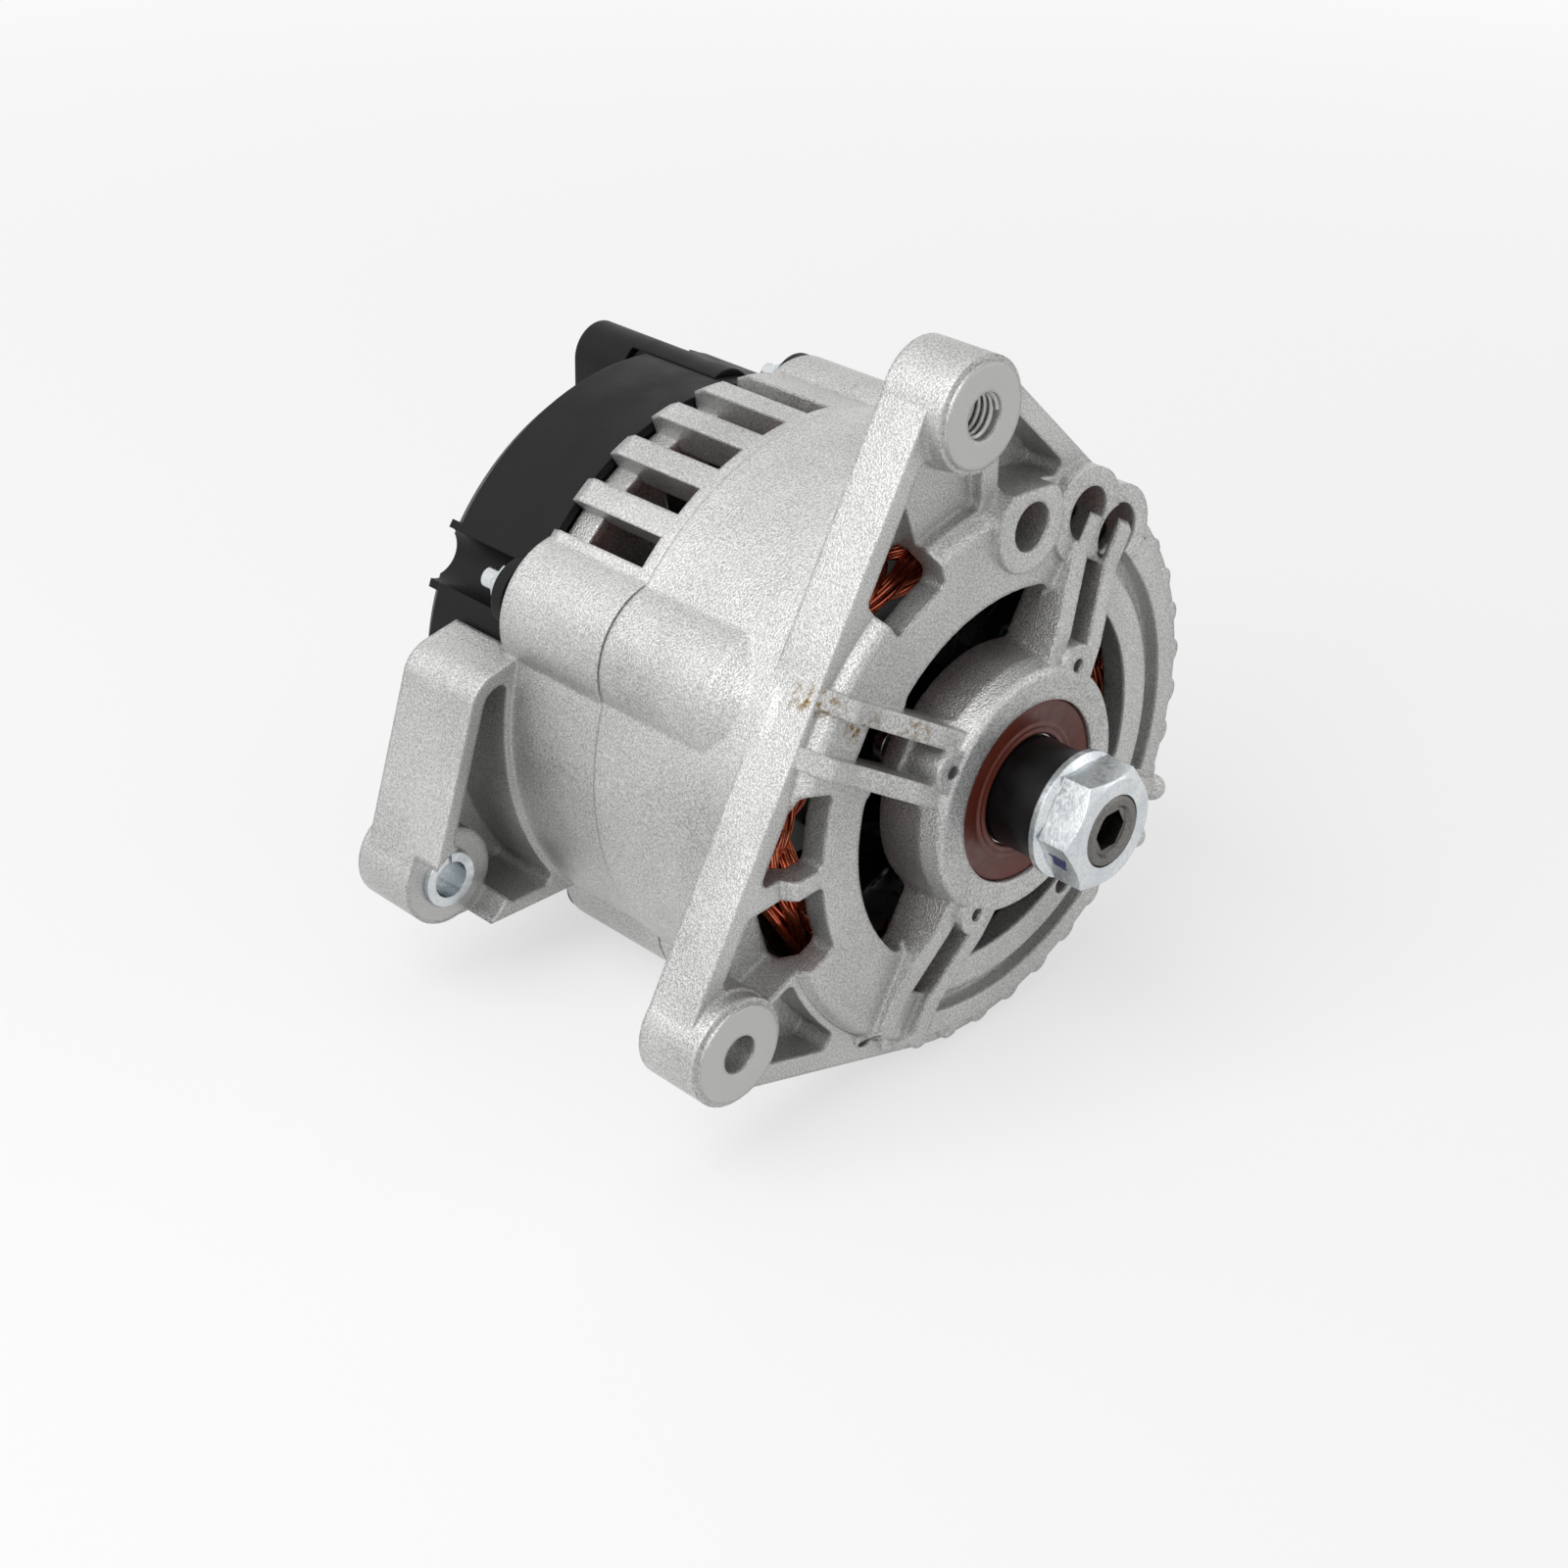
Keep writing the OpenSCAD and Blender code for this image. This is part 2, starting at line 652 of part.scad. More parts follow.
module front_bearing_balls() {
  color("white") balls(8, front_pitch, front_ball, brg_y + front_brg_w / 2);
}

module front_bearing_cage() {
  color("peru") cage(8, front_pitch, front_ball, brg_y + front_brg_w / 2, 10.5, 2.4);
}

// Lip seal over the open side of the front bearing, held in its outer ring.
module front_bearing_seal() {
  color("sienna") tube(brg_y - 1.2, brg_y - seat, front_brg_r - 3, sleeve_r + run);
}

module rear_bearing_outer() {
  color("lightsteelblue") race(rear_brg_r, rear_pitch + 2, rear_brg_y, rear_brg_w, rear_pitch, rear_ball);
}

module rear_bearing_inner() {
  color("lightsteelblue") race(rear_pitch - 2, rear_shaft_r + seat, rear_brg_y, rear_brg_w, rear_pitch, rear_ball);
}

module rear_bearing_balls() {
  color("white") balls(8, rear_pitch, rear_ball, rear_brg_y + rear_brg_w / 2);
}

module rear_bearing_cage() {
  color("peru") cage(8, rear_pitch, rear_ball, rear_brg_y + rear_brg_w / 2, 7.6, 1.8);
}

module bearing_retainer() {
  color("gray") difference() {
    union() {
      bar(brg_end, brg_end + retainer_t, front_brg_r + 2);
      for (a = spoke_angles) spin(a) bar(brg_end, brg_end + retainer_t, 4.4, [boss_r + 0.6, 0], 48);
    }
    bar(brg_end - thru, brg_end + 5, front_pitch + 3);
    for (a = spoke_angles) spin(a) bar(brg_end - thru, brg_end + 5, 1.6 + seat, [boss_r + 0.6, 0], 32);
  }
}

module retainer_screws() {
  color("gainsboro") for (a = spoke_angles) spin(a) {
    bar(boss_y + 6, brg_end + retainer_t, 1.6 - seat, [boss_r + 0.6, 0], 32);
    bar(brg_end + retainer_t, brg_end + retainer_t + 1.6, 2.8, [boss_r + 0.6, 0], 32);
  }
}

// Rotor

module rotor_shaft() {
  shoulder = rear_brg_y - 0.1;
  color("slategray") difference() {
    turned() polygon([[0, 0], [thread_r - 0.8, 0], [thread_r, 0.8], [thread_r, sleeve_y],
      [shaft_r, sleeve_y], [shaft_r, brg_end], [shaft_r + 2, brg_end], [shaft_r + 2, shoulder],
      [rear_shaft_r, shoulder], [rear_shaft_r, rear_brg_y + rear_brg_w],
      [rear_shaft_r - 2, rear_brg_y + rear_brg_w], [rear_shaft_r - 2, ring_y[1] + ring_w + 2],
      [0, ring_y[1] + ring_w + 2]]);
    hex(8, -thru, 10);
    turned() polygon([[0, -thru], [6.6, -thru], [5.2, 1], [0, 1]]);
  }
}

// One pole: a disc with tapered claws that reach over the coil.
module claw_pole(y0, dir, turn) {
  y1 = y0 + dir * pole_t;
  tip = y0 + dir * (pole_end - pole_y - 1);
  lo = min(y0, y1);
  hi = max(y0, y1);
  difference() {
    intersection() {
      bar(pole_y, pole_end, pole_r);
      union() {
        bar(lo, hi, pole_r - 12);
        for (i = [0:claw_n - 1]) spin(turn + i * 360 / claw_n) {
          radial_box(0, pole_r + 2, 20, lo, hi);
          translate([pole_r - 9, 0, 0]) rotate([90, 0, 90]) linear_extrude(12)
            polygon([[y0, -10], [y0, 10], [y1, 10], [tip, 4.2], [tip, -4.2], [y1, -10]]);
        }
      }
    }
    bar(pole_y - thru, pole_end + thru, shaft_r + 2 + seat);
  }
}

module front_claw_pole() {
  color("dimgray") claw_pole(pole_y, 1, 0);
}

module rear_claw_pole() {
  color("dimgray") claw_pole(pole_end, -1, 180 / claw_n);
}

module field_coil() {
  color("firebrick") tube(pole_y + pole_t, pole_end - pole_t, pole_r - 9.4, shaft_r + 2 + seat);
}

module fan(y0, y1, plate_at, r0) {
  difference() {
    union() {
      bar(plate_at, plate_at + fan_t, fan_r - 6);
      for (i = [0:blade_n - 1]) spin(i * 360 / blade_n) intersection() {
        translate([fan_r - 17, y0, 0]) rotate([0, 28, 0]) cube([18, y1 - y0, 1.3]);
        bar(y0 - thru, y1 + thru, fan_r);
      }
    }
    bar(y0 - 5, y1 + 5, r0);
  }
}

module front_fan() {
  color("black") fan(brg_end + retainer_t + 2.2, pole_y, pole_y - fan_t, shaft_r + 2 + seat);
}

module rear_fan() {
  color("black") fan(pole_end, pole_end + 12, pole_end, shaft_r + 2 + seat);
}

module spacer_sleeve() {
  color("black") tube(sleeve_y, brg_y, sleeve_r, shaft_r + seat);
}

module lock_washer() {
  color("gainsboro") difference() {
    turned() polygon([[thread_r + seat, washer_y], [washer_r - 1.6, washer_y], [washer_r, washer_y + 1],
      [washer_r, sleeve_y], [thread_r + seat, sleeve_y]]);
    spin(-35) radial_box(thread_r - 1, washer_r + 1, 0.8, washer_y - thru, sleeve_y + thru);
  }
}

module pulley_nut() {
  color("gainsboro") difference() {
    intersection() {
      hex(nut_af, nut_y, washer_y);
      turned() polygon([[0, nut_y], [nut_af / 2 - 0.4, nut_y], [nut_af / 2 + 2.2, nut_y + 1.7],
        [nut_af / 2 + 2.2, washer_y], [0, washer_y]]);
    }
    bar(nut_y - thru, washer_y + thru, thread_r + seat);
  }
}

module slip_ring_hub() {
  color("black") difference() {
    bar(rear_brg_y + rear_brg_w, ring_y[1] + ring_w + 2, ring_r - 1.2);
    bar(rear_brg_y, ring_y[1] + 20, rear_shaft_r - 2 + seat);
  }
}

module slip_rings() {
  color("peru") for (y = ring_y) tube(y, y + ring_w, ring_r, ring_r - 1.2 + seat);
}

drive_end_bracket();
slip_ring_end_bracket();
stator_core();
front_windings();
rear_windings();
phase_leads();
rear_cover();
cable_duct();
through_bolts();
cover_nuts();
front_bearing_outer();
front_bearing_seal();
bearing_retainer();
retainer_screws();
rear_bearing_outer();
rectifier_plate();
diodes();
brush_holder();
output_stud();
output_nut();
stud_insulator();
rotor_shaft();
front_claw_pole();
rear_claw_pole();
field_coil();
front_fan();
rear_fan();
spacer_sleeve();
lock_washer();
pulley_nut();
slip_ring_hub();
slip_rings();
front_bearing_inner();
rear_bearing_inner();
front_bearing_cage();
front_bearing_balls();
rear_bearing_cage();
rear_bearing_balls();
brush_front();
brush_rear();
brush_spring_front();
brush_spring_rear();
split_bush();
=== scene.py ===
"""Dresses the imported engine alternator: finishes, wound coils, seal, threads, light and camera."""

import json
import logging
import math
from dataclasses import dataclass, field
from enum import Enum
from typing import Any, Sequence

import bpy
from mathutils import Matrix, Vector

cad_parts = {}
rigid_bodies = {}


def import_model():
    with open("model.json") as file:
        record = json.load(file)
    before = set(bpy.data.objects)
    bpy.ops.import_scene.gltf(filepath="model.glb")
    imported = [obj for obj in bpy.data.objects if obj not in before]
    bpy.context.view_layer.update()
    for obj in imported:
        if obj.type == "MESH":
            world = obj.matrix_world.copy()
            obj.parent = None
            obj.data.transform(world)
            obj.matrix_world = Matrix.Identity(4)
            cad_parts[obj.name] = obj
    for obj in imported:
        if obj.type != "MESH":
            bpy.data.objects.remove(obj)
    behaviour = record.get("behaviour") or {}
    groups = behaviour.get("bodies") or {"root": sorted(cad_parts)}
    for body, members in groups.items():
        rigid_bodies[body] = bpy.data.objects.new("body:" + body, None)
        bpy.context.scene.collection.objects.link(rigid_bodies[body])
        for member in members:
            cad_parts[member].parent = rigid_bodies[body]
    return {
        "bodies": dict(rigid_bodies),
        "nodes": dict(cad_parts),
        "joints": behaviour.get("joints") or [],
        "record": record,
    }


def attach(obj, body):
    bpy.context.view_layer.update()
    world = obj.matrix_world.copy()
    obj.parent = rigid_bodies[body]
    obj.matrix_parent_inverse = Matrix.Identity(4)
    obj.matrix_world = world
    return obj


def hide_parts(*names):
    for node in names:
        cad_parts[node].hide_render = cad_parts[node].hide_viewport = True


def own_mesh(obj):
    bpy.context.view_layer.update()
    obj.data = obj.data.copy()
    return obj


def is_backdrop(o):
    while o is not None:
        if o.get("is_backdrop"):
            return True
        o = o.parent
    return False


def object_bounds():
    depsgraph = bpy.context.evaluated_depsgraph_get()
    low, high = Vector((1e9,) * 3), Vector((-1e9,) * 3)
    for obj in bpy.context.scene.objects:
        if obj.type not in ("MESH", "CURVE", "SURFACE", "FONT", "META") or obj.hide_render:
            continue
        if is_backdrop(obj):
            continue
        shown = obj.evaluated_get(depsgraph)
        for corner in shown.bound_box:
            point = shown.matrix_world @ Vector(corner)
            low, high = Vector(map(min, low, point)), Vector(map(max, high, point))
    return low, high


LOG = logging.getLogger("alternator")
MM = 0.001

Point = tuple[float, float, float]
Socket = bpy.types.NodeSocket
Tree = bpy.types.NodeTree

# Places repeated from the part's source, in millimetres
ADJUST_EAR = (-14.5, 85.0)
PIVOT_EAR = (-77.0, -33.0)
EAR_FACE_Y = 29.5
REAR_EAR_Y = 121.0
CORE_Y = (54.0, 86.0)


# Colour and node helpers


def linear(hex_colour: str) -> tuple[float, float, float, float]:
    """Turns an sRGB hex colour into linear RGBA.

    Args:
        hex_colour: Six hexadecimal digits, such as "C8C8C6".

    Returns:
        The colour as Blender's sockets take it.
    """
    parts = [int(hex_colour[i:i + 2], 16) / 255 for i in (0, 2, 4)]
    rgb = [c / 12.92 if c <= 0.04045 else ((c + 0.055) / 1.055) ** 2.4 for c in parts]
    return (rgb[0], rgb[1], rgb[2], 1.0)


def per_mm(size_mm: float) -> float:
    """Noise scale at which one feature measures size_mm."""
    return 1 / (size_mm * MM)


def waves_per_mm(spacing_mm: float) -> float:
    """Wave scale at which the lines are spacing_mm apart; the node has 20 radians to a unit."""
    return 2 * math.pi / (20 * spacing_mm * MM)


def add(tree: Tree, kind: str, settings: dict[str, Any] | None = None, out: int | str = 0,
        **inputs: Any) -> Socket:
    """Adds a shader node with its settings, values and links.

    Args:
        tree: The material's or world's node tree.
        kind: The node's type without its "ShaderNode" prefix.
        settings: Properties of the node, by name.
        out: Which output to return, by number or name.
        inputs: Values or output sockets by input name, with "_" for a blank, or "i0" for number 0.

    Returns:
        The chosen output.
    """
    node = tree.nodes.new("ShaderNode" + kind)
    for name, value in (settings or {}).items():
        setattr(node, name, value)
    for name, value in inputs.items():
        key = int(name[1:]) if name[0] == "i" and name[1:].isdigit() else name.replace("_", " ")
        if isinstance(value, Socket):
            tree.links.new(value, node.inputs[key])
        else:
            node.inputs[key].default_value = value
    return node.outputs[out]


# Finishes


@dataclass(frozen=True)
class Spot:
    """A round area about a line along the shaft's direction, in millimetres.

    Attributes:
        x: Centre, to the right seen from the pulley end.
        z: Centre, upwards.
        radius: Radius of the area.
        y_low: Where the area starts along the shaft.
        y_high: Where it ends.
        soft: Width of the soft edge.
    """

    x: float
    z: float
    radius: float
    y_low: float
    y_high: float
    soft: float = 0.2

    def mask(self, tree: Tree, coords: Socket) -> Socket:
        """Builds the area's mask.

        Args:
            tree: The material's node tree.
            coords: Object coordinates.

        Returns:
            A factor of 1 inside the area and 0 outside.
        """
        flat = add(tree, "VectorMath", {"operation": "MULTIPLY"}, i0=coords, i1=(1, 0, 1))
        reach = add(tree, "VectorMath", {"operation": "DISTANCE"}, "Value", i0=flat,
                    i1=(self.x * MM, 0, self.z * MM))
        inside = add(tree, "MapRange", Value=reach, From_Min=self.radius * MM,
                     From_Max=(self.radius - self.soft) * MM)
        along = add(tree, "SeparateXYZ", out=1, Vector=coords)
        middle = (self.y_low + self.y_high) / 2 * MM
        near = add(tree, "Math", {"operation": "COMPARE"}, i0=along, i1=middle,
                   i2=(self.y_high - self.y_low) / 2 * MM)
        return add(tree, "Math", {"operation": "MULTIPLY"}, i0=inside, i1=near)


@dataclass(frozen=True)
class Finish:
    """A surface finish: what the material is and how its surface was made.

    Attributes:
        name: The material's name.
        colour: Main colour, sRGB hex.
        shade: Colour of the darker grains.
        metallic: Metallic value.
        roughness: Mean roughness.
        spread: How far roughness varies.
        grain_mm: Size of the fine grain.
        relief_mm: Height of the fine grain.
        cloud_mm: Size of the soft change of tone.
        edge_mm: Radius that an edge is broken to.
        coat: Clear coat weight.
        coat_roughness: Roughness of the clear coat.
        contrast: Share of the darker grains.
        cloud_share: Strength of the soft change of tone against the grains.
        wear_share: Size of the handling marks against the soft change of tone.
        specular: Specular level; 0.5 is the plain value for plastic and paint.
    """

    name: str
    colour: str
    shade: str
    metallic: float = 0.0
    roughness: float = 0.5
    spread: float = 0.08
    grain_mm: float = 0.5
    relief_mm: float = 0.02
    cloud_mm: float = 15.0
    edge_mm: float = 0.3
    coat: float = 0.0
    coat_roughness: float = 0.12
    contrast: float = 0.5
    cloud_share: float = 0.4
    wear_share: float = 0.3
    specular: float = 0.5

    def tone(self, tree: Tree, coords: Socket) -> Socket:
        """Builds the colour: fine grains over a soft change of tone.

        Args:
            tree: The material's node tree.
            coords: Object coordinates.

        Returns:
            The colour.
        """
        grain = add(tree, "TexNoise", Vector=coords, Scale=per_mm(self.grain_mm), Detail=2.0)
        cloud = add(tree, "TexNoise", Vector=coords, Scale=per_mm(self.cloud_mm), Detail=3.0)
        fine = add(tree, "MapRange", Value=grain, From_Min=0.35, From_Max=0.65,
                   To_Max=self.contrast)
        broad = add(tree, "MapRange", Value=cloud, From_Min=0.35, From_Max=0.7,
                    To_Max=self.contrast * self.cloud_share)
        both = add(tree, "Math", {"operation": "ADD", "use_clamp": True}, i0=fine, i1=broad)
        return add(tree, "Mix", {"data_type": "RGBA"}, 2, i0=both, i6=linear(self.colour),
                   i7=linear(self.shade))

    def gloss(self, tree: Tree, coords: Socket) -> Socket:
        """Builds the roughness, with handling marks and wear.

        Args:
            tree: The material's node tree.
            coords: Object coordinates.

        Returns:
            The roughness.
        """
        wear = add(tree, "TexNoise", Vector=coords, Scale=per_mm(self.cloud_mm * self.wear_share),
                   Detail=3.0)
        return add(tree, "MapRange", Value=wear, From_Min=0.3, From_Max=0.7,
                   To_Min=self.roughness - self.spread, To_Max=self.roughness + self.spread)

    def relief(self, tree: Tree, coords: Socket) -> Socket:
        """Returns the height of the fine grain, from 0 to 1."""
        return add(tree, "TexNoise", Vector=coords, Scale=per_mm(self.grain_mm), Detail=3.0)

    def build(self) -> bpy.types.Material:
        """Builds the material.

        Returns:
            The new material.
        """
        material = bpy.data.materials.new(self.name)
        material.use_nodes = True
        tree = material.node_tree
        shader = tree.nodes["Principled BSDF"].inputs
        coords = add(tree, "TexCoord", out="Object")
        shader["Metallic"].default_value = self.metallic
        shader["Specular IOR Level"].default_value = self.specular
        shader["Coat Weight"].default_value = self.coat
        shader["Coat Roughness"].default_value = self.coat_roughness
        tree.links.new(self.tone(tree, coords), shader["Base Color"])
        tree.links.new(self.gloss(tree, coords), shader["Roughness"])
        edge = add(tree, "Bevel", {"samples": 4}, Radius=self.edge_mm * MM)
        bump = add(tree, "Bump", Strength=1.0, Distance=self.relief_mm * MM,
                   Height=self.relief(tree, coords), Normal=edge)
        tree.links.new(bump, shader["Normal"])
        return material


@dataclass(frozen=True)
class CastAluminium(Finish):
    """Die-cast aluminium, blasted all over, with a few faces milled clean.

    Attributes:
        milled: The milled areas, which are smoother.
        milled_colour: Their colour.
        milled_gloss: How far their roughness is below the casting's.
        stains: Areas with dried yellow-brown fluid.
        stain_colour: The fluid's colour.
        drop_mm: Size of its drops.
        joint_y: Where the rear casting starts, in millimetres.
        rear_grey: How much greyer the rear casting is.
    """

    milled: tuple[Spot, ...] = ()
    milled_colour: str = "B9B9B7"
    milled_gloss: float = 0.24
    stains: tuple[Spot, ...] = ()
    stain_colour: str = "7A6230"
    drop_mm: float = 1.6
    joint_y: float = CORE_Y[1]
    rear_grey: float = 0.06

    def joined(self, tree: Tree, coords: Socket, spots: Sequence[Spot]) -> Socket:
        """Joins the masks of several areas into one.

        Args:
            tree: The material's node tree.
            coords: Object coordinates.
            spots: The areas, at least one.

        Returns:
            A factor of 1 inside any of the areas and 0 outside.
        """
        total = spots[0].mask(tree, coords)
        for spot in spots[1:]:
            total = add(tree, "Math", {"operation": "MAXIMUM"}, i0=total,
                        i1=spot.mask(tree, coords))
        return total

    def tone(self, tree: Tree, coords: Socket) -> Socket:
        """Builds the blasted grey with its milled faces and stains.

        Args:
            tree: The material's node tree.
            coords: Object coordinates.

        Returns:
            The colour.
        """
        along = add(tree, "SeparateXYZ", out=1, Vector=coords)
        behind = add(tree, "Math", {"operation": "GREATER_THAN"}, i0=along, i1=self.joint_y * MM)
        less = add(tree, "Math", {"operation": "MULTIPLY"}, i0=behind, i1=self.rear_grey)
        bare = add(tree, "Mix", {"data_type": "RGBA"}, 2, i0=less, i6=super().tone(tree, coords),
                   i7=linear(self.shade))
        clean = add(tree, "Mix", {"data_type": "RGBA"}, 2,
                    i0=self.joined(tree, coords, self.milled), i6=bare,
                    i7=linear(self.milled_colour))
        drops = add(tree, "TexNoise", Vector=coords, Scale=per_mm(self.drop_mm), Detail=4.0)
        patch = add(tree, "MapRange", Value=drops, From_Min=0.46, From_Max=0.62)
        stain = add(tree, "Math", {"operation": "MULTIPLY"}, i0=patch,
                    i1=self.joined(tree, coords, self.stains))
        return add(tree, "Mix", {"data_type": "RGBA"}, 2, i0=stain, i6=clean,
                   i7=linear(self.stain_colour))

    def gloss(self, tree: Tree, coords: Socket) -> Socket:
        """Builds the roughness, lower on the milled faces.

        Args:
            tree: The material's node tree.
            coords: Object coordinates.

        Returns:
            The roughness.
        """
        less = add(tree, "Math", {"operation": "MULTIPLY"},
                   i0=self.joined(tree, coords, self.milled), i1=self.milled_gloss)
        return add(tree, "Math", {"operation": "SUBTRACT"}, i0=super().gloss(tree, coords), i1=less)


@dataclass(frozen=True)
class StackedSheet(Finish):
    """Varnished electrical sheet, stacked: fine lines run round the core.

    Attributes:
        line_mm: Spacing of the lines. The real sheets are 0.5 mm thick, and the lines are drawn
            far coarser so that they show.
    """

    line_mm: float = 6.28

    def relief(self, tree: Tree, coords: Socket) -> Socket:
        """Returns the height of the sheets' edges."""
        return add(tree, "TexWave", {"bands_direction": "Y"}, 1, Vector=coords,
                   Scale=waves_per_mm(self.line_mm), Distortion=0.2)


@dataclass(frozen=True)
class TurnedMetal(Finish):
    """Turned metal: fine rings run round the shaft axis.

    Attributes:
        ring_mm: Spacing of the tool marks. Real ones are finer than 0.3 mm, and they are drawn
            far coarser so that they show.
    """

    ring_mm: float = 2.2

    def relief(self, tree: Tree, coords: Socket) -> Socket:
        """Returns the height of the tool marks."""
        return add(tree, "TexWave", {"wave_type": "RINGS", "rings_direction": "Y"}, 1,
                   Vector=coords, Scale=waves_per_mm(self.ring_mm), Distortion=0.3)


@dataclass(frozen=True)
class ZincPlate(Finish):
    """Bright zinc plate with a thin blue passivation, and a fitter's paint mark on the nut.

    Attributes:
        tint: Colour of the passivation.
        tint_mm: Size of its patches.
        mark: Where the paint mark is.
        paint: Colour of the paint.
        smear_mm: Size of the waves in the mark's edge.
        smear_reach: How far the edge strays, in millimetres.
    """

    tint: str = "AEB9C4"
    tint_mm: float = 6.0
    mark: Spot = Spot(-11.2, -4.9, 2.4, 3.2, 6.8, 0.5)
    paint: str = "2E3F86"
    smear_mm: float = 1.8
    smear_reach: float = 1.2

    def tone(self, tree: Tree, coords: Socket) -> Socket:
        """Builds the plate's colour with its blue tint and the paint mark.

        Args:
            tree: The material's node tree.
            coords: Object coordinates.

        Returns:
            The colour.
        """
        veil = add(tree, "TexNoise", Vector=coords, Scale=per_mm(self.tint_mm), Detail=2.0)
        share = add(tree, "MapRange", Value=veil, From_Min=0.4, From_Max=0.65, To_Max=0.35)
        plate = add(tree, "Mix", {"data_type": "RGBA"}, 2, i0=share, i6=super().tone(tree, coords),
                    i7=linear(self.tint))
        smear = add(tree, "TexNoise", out=1, Vector=coords, Scale=per_mm(self.smear_mm), Detail=2.0)
        reach = self.smear_reach * MM
        shift = add(tree, "VectorMath", {"operation": "MULTIPLY_ADD"}, i0=smear,
                    i1=(2 * reach,) * 3, i2=(-reach,) * 3)
        uneven = add(tree, "VectorMath", {"operation": "ADD"}, i0=coords, i1=shift)
        return add(tree, "Mix", {"data_type": "RGBA"}, 2, i0=self.mark.mask(tree, uneven), i6=plate,
                   i7=linear(self.paint))


class Surface(Enum):
    """The record's material slots."""

    CAST_HOUSING = "cast_housing"
    LAMINATION = "lamination"
    WINDING_WIRE = "winding_wire"
    COVER_PLASTIC = "cover_plastic"
    ZINC_STEEL = "zinc_steel"
    BEARING_STEEL = "bearing_steel"
    SEAL_RUBBER = "seal_rubber"
    MACHINED_ALUMINIUM = "machined_aluminium"
    DIODE_CASE = "diode_case"
    STUD_BRASS = "stud_brass"
    SHAFT_STEEL = "shaft_steel"
    POLE_IRON = "pole_iron"
    FAN_STEEL = "fan_steel"
    BLACKENED_STEEL = "blackened_steel"
    RING_COPPER = "ring_copper"
    CAGE_STEEL = "cage_steel"
    BRUSH_CARBON = "brush_carbon"


